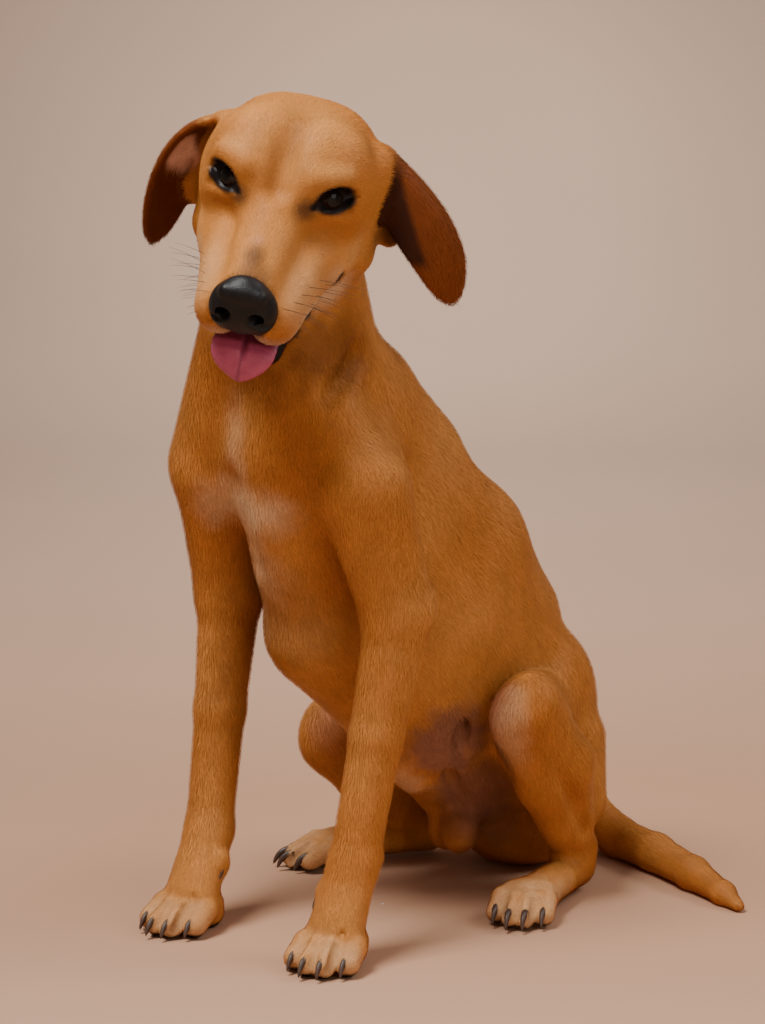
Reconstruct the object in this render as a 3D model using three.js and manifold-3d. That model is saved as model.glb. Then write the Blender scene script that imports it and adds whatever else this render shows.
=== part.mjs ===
// A short-coated, drop-eared male dog, life size, sitting upright with its head turned to its left.
// Millimetres, +Z up. The dog faces -Y, its left side is +X, and the origin is on the floor under the
// rump, where it sits. The flesh is one smooth field of tapered forms, meshed whole, thinned to few
// triangles and parted by thin cuts into head, neck, trunk, legs and tail.
import * as THREE from "three";
import { mergeVertices } from "three/addons/utils/BufferGeometryUtils.js";
import Module from "manifold-3d";

const wasm = await Module();
wasm.setup();

// ---- driving dimensions ----
const GAP = 0.4; // the clear width of every cut between two pieces
const MOUTH_GAP = 0.7; // round the nose and the tongue
const EYE_RADIUS = 11;
const EYE_APART = 33; // each eyeball's centre, left or right of the middle of the head
const EYE_TURN = 36; // how far each eye looks outwards, in degrees
const EYE_UP = 28; // and upwards from the line of the muzzle
const EAR_HALF_THICK = 2.9;
const FINE = 3.2; // mesh step round the head and the feet
const COARSE = 5.5; // mesh step round the trunk
const FLESH_TRIANGLES = 2800; // what the thinned flesh keeps
const MOUTH_TRIANGLES = 240; // what the nose and the tongue keep
const CUTTER_STEP = 10; // mesh step of the faces that part one limb from another
const CUTTER_TRIANGLES = 280;
const CUTTER_REACH = 20; // how far those faces reach out of the flesh
const ROOM_LOW = [-150, -400, -10]; // the corners of the room that the dog fills
const ROOM_HIGH = [232, 105, 620];
const EVENNESS = 0.004; // how much the thinning prefers to join short edges

// ---- vectors ----
const X = [1, 0, 0];
const Y = [0, 1, 0];
const Z = [0, 0, 1];
const add = (p, q, s = 1) => [p[0] + q[0] * s, p[1] + q[1] * s, p[2] + q[2] * s];
const sub = (p, q) => add(p, q, -1);
const dot = (p, q) => p[0] * q[0] + p[1] * q[1] + p[2] * q[2];
const cross = (p, q) => [p[1] * q[2] - p[2] * q[1], p[2] * q[0] - p[0] * q[2], p[0] * q[1] - p[1] * q[0]];
const scale = (p, s) => [p[0] * s, p[1] * s, p[2] * s];
const unit = (p) => scale(p, 1 / (Math.hypot(...p) || 1));
const mix = (p, q, t) => add(p, sub(q, p), t);
const lerp = (a, b, t) => a + (b - a) * t;
const rad = (degrees) => (degrees * Math.PI) / 180;

// A frame turns a piece's own points and directions into the dog's.
function frame(origin, right, back, up) {
  const turn = (v) => add(add(scale(right, v[0]), back, v[1]), up, v[2]);
  return { at: (p) => add(origin, turn(p)), turn };
}
const WORLD = frame([0, 0, 0], X, Y, Z);

// ---- forms ----
// A limb is a tapered bar from a to b. Its size at each end is a radius, or [half width, half depth]:
// the width lies along side, and the depth across both side and the bar.
function limb(a, b, sizeA, sizeB, { side = X, blend = 12, frame: f = WORLD } = {}) {
  const [wa, da] = Array.isArray(sizeA) ? sizeA : [sizeA, sizeA];
  const [wb, db] = Array.isArray(sizeB) ? sizeB : [sizeB, sizeB];
  const p = f.at(a);
  const span = sub(f.at(b), p);
  const axis = unit(span);
  const along = f.turn(side);
  const n = unit(add(along, axis, -dot(along, axis)));
  return { p, span, length2: dot(span, span), axis, n, m: cross(axis, n), wa, da, wb, db, blend };
}

// A lump is an ellipsoid with its three half sizes along its frame's axes.
function lump(c, [rx, ry, rz], { blend = 12, frame: f = WORLD } = {}) {
  const form = { p: f.at(c), span: [0, 0, 0], length2: 1, axis: f.turn(Y), n: f.turn(X), m: f.turn(Z) };
  return { ...form, wa: rx, wb: rx, da: rz, db: rz, cap: ry, blend };
}

// The same form taken away instead of added.
const hollow = (form) => ({ ...form, takes: true });

function formDistance(o, x, y, z) {
  let qx = x - o.p[0];
  let qy = y - o.p[1];
  let qz = z - o.p[2];
  const h = Math.min(1, Math.max(0, (qx * o.span[0] + qy * o.span[1] + qz * o.span[2]) / o.length2));
  qx -= h * o.span[0];
  qy -= h * o.span[1];
  qz -= h * o.span[2];
  const w = o.wa + (o.wb - o.wa) * h;
  const d = o.da + (o.db - o.da) * h;
  const c = o.cap ?? Math.min(w, d);
  const u = (qx * o.n[0] + qy * o.n[1] + qz * o.n[2]) / w;
  const v = (qx * o.m[0] + qy * o.m[1] + qz * o.m[2]) / d;
  const t = (qx * o.axis[0] + qy * o.axis[1] + qz * o.axis[2]) / c;
  const k0 = Math.hypot(u, v, t);
  const k1 = Math.hypot(u / w, v / d, t / c);
  return k1 < 1e-9 ? -Math.min(w, d, c) : (k0 * (k0 - 1)) / k1;
}

// Smooth union and smooth cut: the surfaces round into each other over the blend's width.
const melt = (a, b, k) => Math.min(a, b) - (Math.max(k - Math.abs(a - b), 0) ** 2 / k) * 0.25;
const carve = (a, b, k) => -melt(-a, b, k);

// The sphere round a group of forms, so the field far from the group costs little.
function hullOf(forms) {
  const box = new THREE.Box3();
  for (const o of forms) {
    const reach = Math.max(o.wa, o.da, o.wb, o.db, o.cap ?? 0);
    for (const end of [o.p, add(o.p, o.span)]) {
      const ball = new THREE.Sphere(new THREE.Vector3(...end), reach);
      box.union(ball.getBoundingBox(new THREE.Box3()));
    }
  }
  const sphere = box.getBoundingSphere(new THREE.Sphere());
  return { forms, centre: sphere.center.toArray(), radius: sphere.radius };
}

function groupDistance({ forms, centre, radius }, x, y, z) {
  const clear = Math.hypot(x - centre[0], y - centre[1], z - centre[2]) - radius;
  if (clear > 45) return clear;
  let d = 1e3;
  for (const o of forms) {
    const e = formDistance(o, x, y, z);
    d = o.takes ? carve(d, e, o.blend) : melt(d, e, o.blend);
  }
  return d;
}

// ---- the dog's landmarks ----
const HEAD_AT = [40, -288, 528]; // half way between the eyeballs
const HEAD_TURN = 36; // how far the face is turned to the dog's left
const HEAD_DOWN = 34; // how far the muzzle dips
const HEAD_TILT = 12; // how far the crown leans to the dog's left

// The head's frame: x to its left, y to its back, z to its crown.
function headFrame() {
  const [turn, down, tilt] = [HEAD_TURN, HEAD_DOWN, HEAD_TILT].map(rad);
  const q = new THREE.Quaternion()
    .setFromAxisAngle(new THREE.Vector3(0, 0, 1), turn)
    .multiply(new THREE.Quaternion().setFromAxisAngle(new THREE.Vector3(0, 1, 0), tilt))
    .multiply(new THREE.Quaternion().setFromAxisAngle(new THREE.Vector3(1, 0, 0), down));
  const axis = (v) => new THREE.Vector3(...v).applyQuaternion(q).toArray();
  return frame(HEAD_AT, axis(X), axis(Y), axis(Z));
}
const HEAD = headFrame();

// Each leg's joints, and the way its toes point, in degrees out from straight ahead.
const LEFT_FORE = {
  side: 1,
  blade: [27, -178, 366],
  shoulder: [66, -236, 318],
  elbow: [81, -217, 232],
  wrist: [93, -274, 66],
  foot: [98, -297, 0],
  toesOut: 20,
};
const RIGHT_FORE = {
  side: -1,
  blade: [-27, -178, 366],
  shoulder: [-70, -245, 318],
  elbow: [-71, -234, 232],
  wrist: [-51, -275, 66],
  foot: [-43, -300, 0],
  toesOut: -10,
};
const LEFT_HIND = {
  side: 1,
  hip: [42, -24, 110],
  knee: [96, -100, 146],
  hock: [86, -34, 30],
  foot: [113, -117, 0],
  toesOut: 30,
};
const RIGHT_HIND = {
  side: -1,
  hip: [-42, -24, 100],
  knee: [-92, -110, 104],
  hock: [-66, -30, 30],
  foot: [-92, -109, 0],
  toesOut: 30,
};

// ---- the flesh ----
function trunk() {
  return [
    limb([0, -201, 328], [0, -116, 222], [52, 81], [74, 108], { blend: 20 }), // rib cage
    limb([0, -116, 222], [0, -72, 164], [74, 108], [70, 101], { blend: 8 }), // belly
    limb([0, -72, 164], [0, -34, 106], [70, 101], [58, 80], { blend: 8 }), // loin
    limb([0, -34, 106], [0, -14, 66], [58, 80], [50, 56], { blend: 8 }), // rump
    limb([0, -240, 338], [0, -228, 262], [42, 42], [30, 34], { blend: 24 }), // breastbone
    limb([-4, -216, 262], [-5, -200, 210], [38, 34], [45, 47], { blend: 20 }), // keel of the chest
    limb([-5, -200, 210], [-2, -152, 172], [45, 47], [47, 47], { blend: 8 }),
    limb([0, -160, 382], [0, -120, 332], [22, 25], [27, 31], { blend: 30 }), // withers
    lump([0, 4, 22], [44, 38, 24], { blend: 24 }), // seat
  ];
}

function neck() {
  return [
    limb([0, -210, 366], [-2, -236, 436], [48, 60], [47, 57], { blend: 16 }),
    limb([-2, -236, 436], [8, -248, 500], [47, 57], [42, 51], { blend: 8 }),
    limb([-72, -248, 330], [-32, -256, 430], 33, 31, { blend: 18 }), // neck muscle to the right shoulder
    limb([58, -240, 326], [10, -252, 430], 28, 26, { blend: 18 }), // neck muscle to the left shoulder
  ];
}

// A frame on each eyeball, turned outwards and up; s is 1 on the left and -1 on the right.
function eyeFrame(s) {
  const q = new THREE.Quaternion()
    .setFromAxisAngle(new THREE.Vector3(0, 0, 1), s * rad(EYE_TURN))
    .multiply(new THREE.Quaternion().setFromAxisAngle(new THREE.Vector3(1, 0, 0), -rad(EYE_UP)));
  const axis = (v) => HEAD.turn(new THREE.Vector3(...v).applyQuaternion(q).toArray());
  return frame(HEAD.at([s * EYE_APART, 0, 0]), axis(X), axis(Y), axis(Z));
}

// The same form on the left (s = 1) and on the right (s = -1), in the head's frame.
const both = (make) => [1, -1].map(make);
const headLimb = (a, b, sizeA, sizeB, blend) => limb(a, b, sizeA, sizeB, { frame: HEAD, blend });
const headLump = (c, sizes, blend) => lump(c, sizes, { frame: HEAD, blend });

function head() {
  return [
    ...both((s) => headLimb([s * 20, 24, -3], [s * 17, 54, -10], [39, 40], [38, 36], 12)), // brain case
    headLimb([0, 62, -10], [0, 86, -22], [38, 30], [24, 20], 20), // back of the skull
    ...both((s) => headLimb([s * 17, 4, 3], [s * 20, 26, 9], [19, 17], [24, 22], 18)), // forehead
    headLimb([0, -4, -12], [0, -82, -26], [24, 21], [18, 15], 18), // bridge of the nose
    ...both((s) => headLimb([s * 42, 6, -20], [s * 46, 42, -18], [14, 17], [14, 20], 18)), // cheekbone
    ...both((s) => headLimb([s * 43, 46, -30], [s * 45, 20, -58], [20, 26], [20, 22], 18)), // jaw muscle
    ...both((s) => headLimb([s * 31, -4, -42], [s * 18, -80, -47], [20, 23], [17, 19], 12)), // upper lip
    ...both((s) => headLump([s * 41, -8, -46], [11, 18, 14], 12)), // lip corner
    ...both((s) => headLump([s * 56, 50, -10], [14, 18, 20], 12)), // ear root
    ...both((s) => headLump([s * 70, 42, -45], [11, 11, 20], 10)), // ear's lower lobe
    ...both((s) => lump([0, 0, 0], [14.5, 14.5, 13.5], { frame: eyeFrame(s), blend: 8 })), // lids
    ...both((s) => hollow(lump([0, -14, 0], [13, 8, 7.2], { frame: eyeFrame(s), blend: 3 }))), // eye opening
  ];
}

function lowerJaw() {
  return [
    headLimb([0, 30, -72], [3, -66, -90], [32, 15], [22, 13], 10),
    ...both((s) => headLimb([s * 36, 32, -58], [s * 22 + 2, -26, -80], [14, 17], [12, 12], 12)),
    hollow(headLimb([3, -14, -68], [4, -110, -69], [24, 8], [28, 12], 5)), // mouth
  ];
}

// The leather of the nose, with its two wings, nostrils and middle groove.
function nose() {
  return [
    headLump([0, -90, -32], [20, 13, 23], 6),
    ...both((s) => headLump([s * 12, -92, -34], [11, 12, 15], 6)),
    ...both((s) => hollow(headLimb([s * 9, -108, -34], [s * 17, -98, -32], 3.6, 2.6, 3))), // nostrils
    hollow(headLimb([0, -108, -34], [0, -103, -56], 1.6, 1.6, 2)), // groove
  ];
}

const TONGUE_HALF_WIDTH = 22.5;
const TONGUE_HALF_THICK = 4.8;
const TONGUE_BEND = [[2, -30, -70], [3, -64, -72], [4, -86, -75], [5, -95, -90]]; // root to tip

// The tongue lolls over the lower lip: a flat bar along its bend that rounds off to the tip.
function tongue() {
  const curve = new THREE.CatmullRomCurve3(TONGUE_BEND.map((p) => new THREE.Vector3(...p)));
  const stops = [0, 0.35, 0.6, 0.72, 0.82, 0.9, 0.96, 1];
  const halfWidth = (t) => TONGUE_HALF_WIDTH * Math.sqrt(1.03 - Math.max(0, (t - 0.6) / 0.4) ** 2.2);
  const at = (t) => curve.getPoint(t).toArray();
  const size = (t) => [halfWidth(t), TONGUE_HALF_THICK - t];
  const bars = stops.slice(1).map((t, i) => headLimb(at(stops[i]), at(t), size(stops[i]), size(t), 2));
  return [...bars, hollow(headLimb([3, -66, -64], [5, -98, -74], 2, 2, 3))]; // with its middle groove
}

// ---- paws ----
const FORE_PAW = 0.95;
const HIND_PAW = 0.85; // a hind paw is a little smaller
const TOES = [-1.5, -0.5, 0.5, 1.5]; // how far each toe is from the middle of the paw, in toe widths
const toeAcross = (i, size) => i * 12.6 * size;
const toeBack = (i) => (Math.abs(i) < 1 ? 0 : 10); // the outer toes are shorter

// A paw's frame: x to the dog's left, y back, turned so that the toes point outwards.
function pawFrame(place, toesOut, side) {
  const turn = rad(toesOut * side);
  return frame(place, [Math.cos(turn), Math.sin(turn), 0], [-Math.sin(turn), Math.cos(turn), 0], Z);
}

function toes(f, size) {
  const forms = [lump([0, 6, 10], [21 * size, 20, 14], { frame: f, blend: 10 })];
  for (const i of TOES) {
    const x = toeAcross(i, size);
    const knuckle = [x, -18 + toeBack(i), 16.5];
    const end = [x * 1.08, -32 + toeBack(i), 9];
    forms.push(limb([x * 0.7, 6, 18], knuckle, 10 * size, 10 * size, { frame: f, blend: 6 }));
    forms.push(limb(knuckle, end, 10 * size, 9.5 * size, { frame: f, blend: 3 }));
  }
  return forms;
}

function foreleg({ side, blade, shoulder, elbow, wrist, foot, toesOut }) {
  const middle = mix(elbow, wrist, 0.5);
  const paw = pawFrame(foot, toesOut, side);
  return [
    limb(blade, shoulder, [13, 20], [28, 36], { blend: 20 }), // shoulder blade
    limb(shoulder, elbow, [28, 36], [23, 29], { blend: 20 }), // upper arm
    limb(add(elbow, [0, 24, 8]), add(elbow, [0, 4, 0]), 12, 18, { blend: 12 }), // point of the elbow
    limb(elbow, middle, [21.5, 26], [18, 20.5], { blend: 10 }), // forearm
    limb(middle, wrist, [18, 20.5], [18, 17], { blend: 6 }),
    limb(wrist, add(foot, [0, 0, 24]), [18, 17], [23, 15.5], { blend: 8 }), // wrist to the knuckles
    lump(add(wrist, [side * 4, 17, 4]), [7, 6, 8], { blend: 8 }), // stopper pad
    lump([-side * 15, 15, 46], [6, 8, 10], { frame: paw, blend: 6 }), // root of the dewclaw
    ...toes(paw, FORE_PAW),
  ];
}

function hindleg({ side, hip, knee, hock, foot, toesOut }) {
  const calf = add(mix(knee, hock, 0.42), [side * 3, 6, 0]);
  const sitBone = add(hip, [side * 22, 2, -4]);
  return [
    limb(hip, knee, [34, 56], [23, 30], { blend: 26 }), // thigh
    lump(add(hip, [side * -4, -1, 26]), [45, 52, 62], { blend: 14 }), // haunch
    limb(sitBone, add(hock, [0, 10, 34]), [30, 40], [17, 22], { blend: 18 }), // hamstrings
    limb(knee, calf, [23, 30], [26, 34], { blend: 10 }), // calf
    limb(calf, hock, [26, 34], [15, 17], { blend: 8 }),
    limb(add(hock, [0, 10, 2]), add(hock, [0, 0, -8]), 11, 14, { blend: 10 }), // point of the hock
    limb(add(hock, [0, 0, -14]), add(foot, [0, 8, 16]), [15, 14], [18, 12], { blend: 10 }),
    ...toes(pawFrame(foot, toesOut, side), HIND_PAW),
  ];
}

function tail() {
  const bones = [
    [[0, 42, 62], 22],
    [[14, 62, 32], 19],
    [[48, 64, 15], 16],
    [[96, 50, 14], 15],
    [[150, 28, 12], 13],
    [[192, 11, 8], 9],
    [[213, 2, 4.5], 5],
  ];
  return bones.slice(1).map(([end, r], i) => limb(bones[i][0], end, bones[i][1], r, { blend: 6 }));
}

// ---- ears ----
// An ear is a bent sheet, from its root (t = 0) to its tip (t = 1), and from its front edge (v = -1)
// to its rear edge (v = 1). It curls like a funnel at the root and is nearly flat at the tip.
function earSheet({ side, root, bend, tip, rootWidth, width, facing, lean }, rows = 16, columns = 10) {
  const grid = [];
  for (let i = 0; i <= rows; i++) {
    const t = i / rows;
    const middle = mix(mix(root, bend, t), mix(bend, tip, t), t);
    const down = unit(mix(sub(bend, root), sub(tip, bend), t));
    const out = unit(add(facing, down, -dot(facing, down)));
    const back = scale(cross(down, out), -side);
    const centre = add(middle, back, lean * Math.sin(Math.PI * t));
    const widest = lerp(rootWidth, width, Math.sin(Math.min(1, t * 1.6) * Math.PI * 0.5));
    const half = widest * Math.sqrt(1 - t ** 3.2 + 0.004); // rounded at the tip
    const row = [];
    for (let j = 0; j <= columns; j++) {
      const v = (2 * j) / columns - 1;
      const curl = lerp(v > 0 ? 1.9 : 0.9, v > 0 ? 0.35 : 0.5, Math.min(1, t * 1.25));
      const a = curl * Math.abs(v);
      const across = (Math.sin(a) / curl) * half * Math.sign(v);
      const inward = ((1 - Math.cos(a)) / curl) * half;
      row.push(HEAD.at(add(add(centre, back, across), out, -inward)));
    }
    grid.push(row);
  }
  return grid;
}

const LEFT_EAR = {
  side: 1,
  root: [56, 48, 0],
  bend: [109, 43, -25],
  tip: [123, 16, -78],
  rootWidth: 22,
  width: 24.5,
  facing: [0.7, -0.6, 0.3],
  lean: -4, // how far its middle swings forwards (less than 0) or backwards
};
const RIGHT_EAR = {
  side: -1,
  root: [-57, 48, 2],
  bend: [-91, 53, -4],
  tip: [-91, 13, -81],
  rootWidth: 22,
  width: 25.5,
  facing: [-0.7, 0.7, 0.1],
  lean: 3,
};

function sheetTriangles(grid) {
  const triangles = [];
  for (let i = 1; i < grid.length; i++)
    for (let j = 1; j < grid[i].length; j++) {
      const [a, b, c, d] = [grid[i - 1][j - 1], grid[i][j - 1], grid[i][j], grid[i - 1][j]];
      triangles.push([a, b, c], [a, c, d]);
    }
  return triangles.map((t) => new THREE.Triangle(...t.map((p) => new THREE.Vector3(...p))));
}

function ear(settings) {
  const triangles = sheetTriangles(earSheet(settings));
  const box = new THREE.Box3().setFromPoints(triangles.flatMap((t) => [t.a, t.b, t.c])).expandByScalar(14);
  const p = new THREE.Vector3();
  const nearest = new THREE.Vector3();
  return (x, y, z) => {
    p.set(x, y, z);
    if (!box.containsPoint(p)) return 1e3;
    let least = 1e6;
    for (const triangle of triangles) {
      least = Math.min(least, triangle.closestPointToPoint(p, nearest).distanceToSquared(p));
    }
    return Math.sqrt(least) - EAR_HALF_THICK;
  };
}

const FORMS = {
  trunk: hullOf(trunk()),
  neck: hullOf(neck()),
  head: hullOf(head()),
  jaw: hullOf(lowerJaw()),
  leftFore: hullOf(foreleg(LEFT_FORE)),
  rightFore: hullOf(foreleg(RIGHT_FORE)),
  leftHind: hullOf(hindleg(LEFT_HIND)),
  rightHind: hullOf(hindleg(RIGHT_HIND)),
  tail: hullOf(tail()),
};
const EARS = [ear(LEFT_EAR), ear(RIGHT_EAR)];

// The distance to the nearest of the named groups of forms, without blending one into another.
const nearest = (names) => (x, y, z) => {
  return Math.min(...names.map((name) => groupDistance(FORMS[name], x, y, z)));
};

// The same for the head with its jaw and ears.
const headDistance = (x, y, z) => {
  return Math.min(nearest(["head", "jaw"])(x, y, z), ...EARS.map((e) => e(x, y, z)));
};

// The whole dog's field: less than zero inside.
function fleshDistance(x, y, z) {
  const d = (name) => groupDistance(FORMS[name], x, y, z);
  let all = melt(d("trunk"), d("neck"), 34);
  all = melt(all, melt(d("head"), d("jaw"), 5), 18);
  all = melt(all, d("leftFore"), 14);
  all = melt(all, d("rightFore"), 14);
  all = melt(all, d("leftHind"), 12);
  all = melt(all, d("rightHind"), 12);
  all = melt(all, d("tail"), 10);
  for (const e of EARS) all = melt(all, e(x, y, z), 5);
  return all;
}

// ---- meshing ----
const evenSteps = (from, to, step) => {
  return Array.from({ length: Math.ceil((to - from) / step) + 1 }, (_, i) => from + i * step);
};

// Steps along one axis: fine inside the listed spans, coarse between them.
function steps(from, to, spans) {
  const out = [from];
  while (out[out.length - 1] < to) {
    const at = out[out.length - 1];
    out.push(at + (spans.some(([a, b]) => at >= a && at < b) ? FINE : COARSE));
  }
  return out;
}

const BLOCK = 4; // cells to a block
const CELL_CORNERS = [[0, 0, 0], [1, 0, 0], [0, 1, 0], [1, 1, 0], [0, 0, 1], [1, 0, 1], [0, 1, 1], [1, 1, 1]];
const CELL_TETS = [[0, 1, 3, 7], [0, 3, 2, 7], [0, 2, 6, 7], [0, 6, 4, 7], [0, 4, 5, 7], [0, 5, 1, 7]];

// The distance at every grid point. Blocks far from the surface take the distance at their middle.
function sampleField(distance, xs, ys, zs, id, step) {
  const values = new Float32Array(xs.length * ys.length * zs.length);
  const end = (i, all) => Math.min(i + BLOCK, all.length);
  const middle = (i, all) => all[Math.min(i + BLOCK / 2, all.length - 1)];
  for (let k = 0; k < zs.length; k += BLOCK) {
    for (let j = 0; j < ys.length; j += BLOCK) {
      for (let i = 0; i < xs.length; i += BLOCK) {
        const inner = distance(middle(i, xs), middle(j, ys), middle(k, zs));
        const far = Math.abs(inner) > BLOCK * step * 1.9; // more than half the block's diagonal
        for (let w = k; w < end(k, zs); w++) {
          for (let v = j; v < end(j, ys); v++) {
            for (let u = i; u < end(i, xs); u++) {
              values[id(u, v, w)] = far ? inner : distance(xs[u], ys[v], zs[w]);
            }
          }
        }
      }
    }
  }
  return values;
}

// Marching tetrahedra: each cell's six tetrahedra share its diagonal, so the surface always closes.
function meshField(distance, xs, ys, zs, step = COARSE) {
  const [nx, ny, nz] = [xs.length, ys.length, zs.length];
  const id = (i, j, k) => (k * ny + j) * nx + i;
  const values = sampleField(distance, xs, ys, zs, id, step);
  const corner = CELL_CORNERS.map((c) => id(...c));
  const vertices = [];
  const faces = [];
  const made = new Map();
  const place = (n) => [xs[n % nx], ys[Math.floor(n / nx) % ny], zs[Math.floor(n / (nx * ny))]];
  const between = (a, b) => {
    const [lo, hi] = a < b ? [a, b] : [b, a];
    const key = lo * values.length + hi;
    if (!made.has(key)) {
      const t = Math.min(0.88, Math.max(0.12, values[lo] / (values[lo] - values[hi]))); // no sliver faces
      made.set(key, vertices.length);
      vertices.push(mix(place(lo), place(hi), t));
    }
    return made.get(key);
  };
  const addTet = (within, without) => {
    const pairs = within.flatMap((a) => without.map((b) => [a, b]));
    if (pairs.length === 4) [pairs[2], pairs[3]] = [pairs[3], pairs[2]];
    const ring = pairs.map(([a, b]) => between(a, b));
    const [a, b, c] = ring.map((v) => vertices[v]);
    const outward = sub(centreOf(without.map(place)), centreOf(within.map(place)));
    if (dot(cross(sub(b, a), sub(c, a)), outward) < 0) ring.reverse();
    for (let v = 2; v < ring.length; v++) faces.push([ring[0], ring[v - 1], ring[v]]);
  };
  const addCell = (base) => {
    const at = corner.map((c) => base + c);
    const inside = at.map((n) => values[n] < 0);
    if (inside.every(Boolean) || !inside.some(Boolean)) return;
    for (const tet of CELL_TETS) {
      const within = tet.filter((c) => inside[c]).map((c) => at[c]);
      const without = tet.filter((c) => !inside[c]).map((c) => at[c]);
      if (within.length && without.length) addTet(within, without);
    }
  };
  for (let k = 0; k + 1 < nz; k++) {
    for (let j = 0; j + 1 < ny; j++) {
      for (let i = 0; i + 1 < nx; i++) addCell(id(i, j, k));
    }
  }
  return { vertices, faces };
}

function centreOf(points) {
  return scale(points.reduce((s, p) => add(s, p), [0, 0, 0]), 1 / points.length);
}

// ---- thinning ----
// Each vertex carries the summed squares of its distances to the planes round it, and the edge whose
// joining moves the surface least goes first. Where weight is high, more triangles stay.
function planeSquares([nx, ny, nz], d, w) {
  const products = [nx * nx, nx * ny, nx * nz, nx * d, ny * ny, ny * nz, ny * d, nz * nz, nz * d, d * d];
  return products.map((v) => v * w);
}

function squaredError(q, [x, y, z]) {
  const squares = q[0] * x * x + q[4] * y * y + q[7] * z * z;
  const products = 2 * (q[1] * x * y + q[2] * x * z + q[5] * y * z);
  return squares + products + 2 * (q[3] * x + q[6] * y + q[8] * z) + q[9];
}

// The point with the least error, or undefined where the planes don't fix one.
function bestPoint(q) {
  const m = new THREE.Matrix3().set(q[0], q[1], q[2], q[1], q[4], q[5], q[2], q[5], q[7]);
  const trace = q[0] + q[4] + q[7];
  if (Math.abs(m.determinant()) < 1e-6 * trace ** 3) return undefined;
  return new THREE.Vector3(-q[3], -q[6], -q[8]).applyMatrix3(m.invert()).toArray();
}

class Heap {
  items = [];
  push(item) {
    const a = this.items;
    let i = a.push(item) - 1;
    while (i > 0 && a[(i - 1) >> 1].cost > item.cost) {
      a[i] = a[(i - 1) >> 1];
      i = (i - 1) >> 1;
    }
    a[i] = item;
  }
  pop() {
    const a = this.items;
    const top = a[0];
    const last = a.pop();
    if (!a.length) return top;
    let i = 0;
    for (;;) {
      let child = 2 * i + 1;
      if (child >= a.length) break;
      if (child + 1 < a.length && a[child + 1].cost < a[child].cost) child++;
      if (a[child].cost >= last.cost) break;
      a[i] = a[child];
      i = child;
    }
    a[i] = last;
    return top;
  }
}

// A triangle's unit normal, and how far it is from a sliver: 0 for a line, 0.87 for equal sides.
function shapeOf([a, b, c]) {
  const [ab, ac, bc] = [sub(b, a), sub(c, a), sub(c, b)];
  const n = cross(ab, ac);
  const size = Math.hypot(...n);
  const longest = Math.max(dot(ab, ab), dot(ac, ac), dot(bc, bc));
  return { normal: scale(n, 1 / (size || 1)), fullness: size / (longest || 1) };
}

function thin({ vertices, faces }, keep, weight = () => 1) {
  const at = vertices.map((p) => [...p]);
  const squares = at.map(() => new Array(10).fill(0));
  const around = at.map(() => []);
  const alive = new Uint8Array(faces.length).fill(1);
  const stamp = new Uint32Array(at.length);
  const gone = new Uint8Array(at.length);
  faces = faces.map((f) => [...f]);
  faces.forEach((f, i) => {
    const [a, b, c] = f.map((v) => at[v]);
    const normal = cross(sub(b, a), sub(c, a));
    const area = Math.hypot(...normal) / 2;
    if (area > 1e-9) {
      const n = scale(normal, 0.5 / area);
      const q = planeSquares(n, -dot(n, a), area * weight(a));
      for (const v of f) q.forEach((value, k) => (squares[v][k] += value));
    }
    for (const v of f) around[v].push(i);
  });
  const ring = (v) => {
    around[v] = around[v].filter((i) => alive[i] && faces[i].includes(v));
    return new Set(around[v].flatMap((i) => faces[i]).filter((w) => w !== v));
  };
  const heap = new Heap();
  const offer = (u, v) => {
    const q = squares[u].map((value, k) => value + squares[v][k]);
    const middle = mix(at[u], at[v], 0.5);
    const length = Math.hypot(...sub(at[u], at[v]));
    const best = bestPoint(q);
    const near = best && Math.hypot(...sub(best, middle)) < length * 1.5;
    const point = near ? best : middle;
    const cost = squaredError(q, point) + EVENNESS * weight(middle) * length ** 3;
    heap.push({ u, v, point, stamp: stamp[u] + stamp[v], cost, tries: 0 });
  };
  const turnsOver = (v, other, point) =>
    around[v].some((i) => {
      if (faces[i].includes(other)) return false;
      const before = shapeOf(faces[i].map((w) => at[w]));
      const after = shapeOf(faces[i].map((w) => (w === v ? point : at[w])));
      if (after.fullness < 0.12 && after.fullness < before.fullness) return true;
      return before.fullness > 0.05 && dot(before.normal, after.normal) < 0.25;
    });
  at.forEach((_, v) => {
    for (const w of ring(v)) if (v < w) offer(v, w);
  });
  let count = faces.length;
  while (count > keep && heap.items.length) {
    const edge = heap.pop();
    const { u, v, point } = edge;
    if (gone[u] || gone[v] || edge.stamp !== stamp[u] + stamp[v]) continue;
    const [nearU, nearV] = [ring(u), ring(v)];
    if ([...nearU].filter((w) => nearV.has(w)).length !== 2) continue;
    if (turnsOver(u, v, point) || turnsOver(v, u, point)) {
      if (edge.tries < 8) heap.push({ ...edge, cost: edge.cost * 2 + 0.01, tries: edge.tries + 1 });
      continue;
    }
    for (const i of around[v]) {
      if (faces[i].includes(u)) {
        alive[i] = 0;
        count--;
      } else {
        faces[i][faces[i].indexOf(v)] = u;
        around[u].push(i);
      }
    }
    gone[v] = 1;
    stamp[u] += 1;
    at[u] = point;
    squares[u] = squares[u].map((value, k) => value + squares[v][k]);
    for (const w of ring(u)) offer(u, w);
  }
  return packed(at, faces.filter((_, i) => alive[i]));
}

// The same faces with only the vertices that they use.
function packed(vertices, faces) {
  const number = new Map();
  const used = [];
  const renumber = (v) => {
    if (!number.has(v)) {
      number.set(v, used.length);
      used.push(vertices[v]);
    }
    return number.get(v);
  };
  return { faces: faces.map((f) => f.map(renumber)), vertices: used };
}

// ---- solids ----
function solidOf({ vertices, faces }) {
  const vertProperties = new Float32Array(vertices.flat());
  const triVerts = new Uint32Array(faces.flat());
  return new wasm.Manifold(new wasm.Mesh({ numProp: 3, vertProperties, triVerts }));
}

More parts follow.
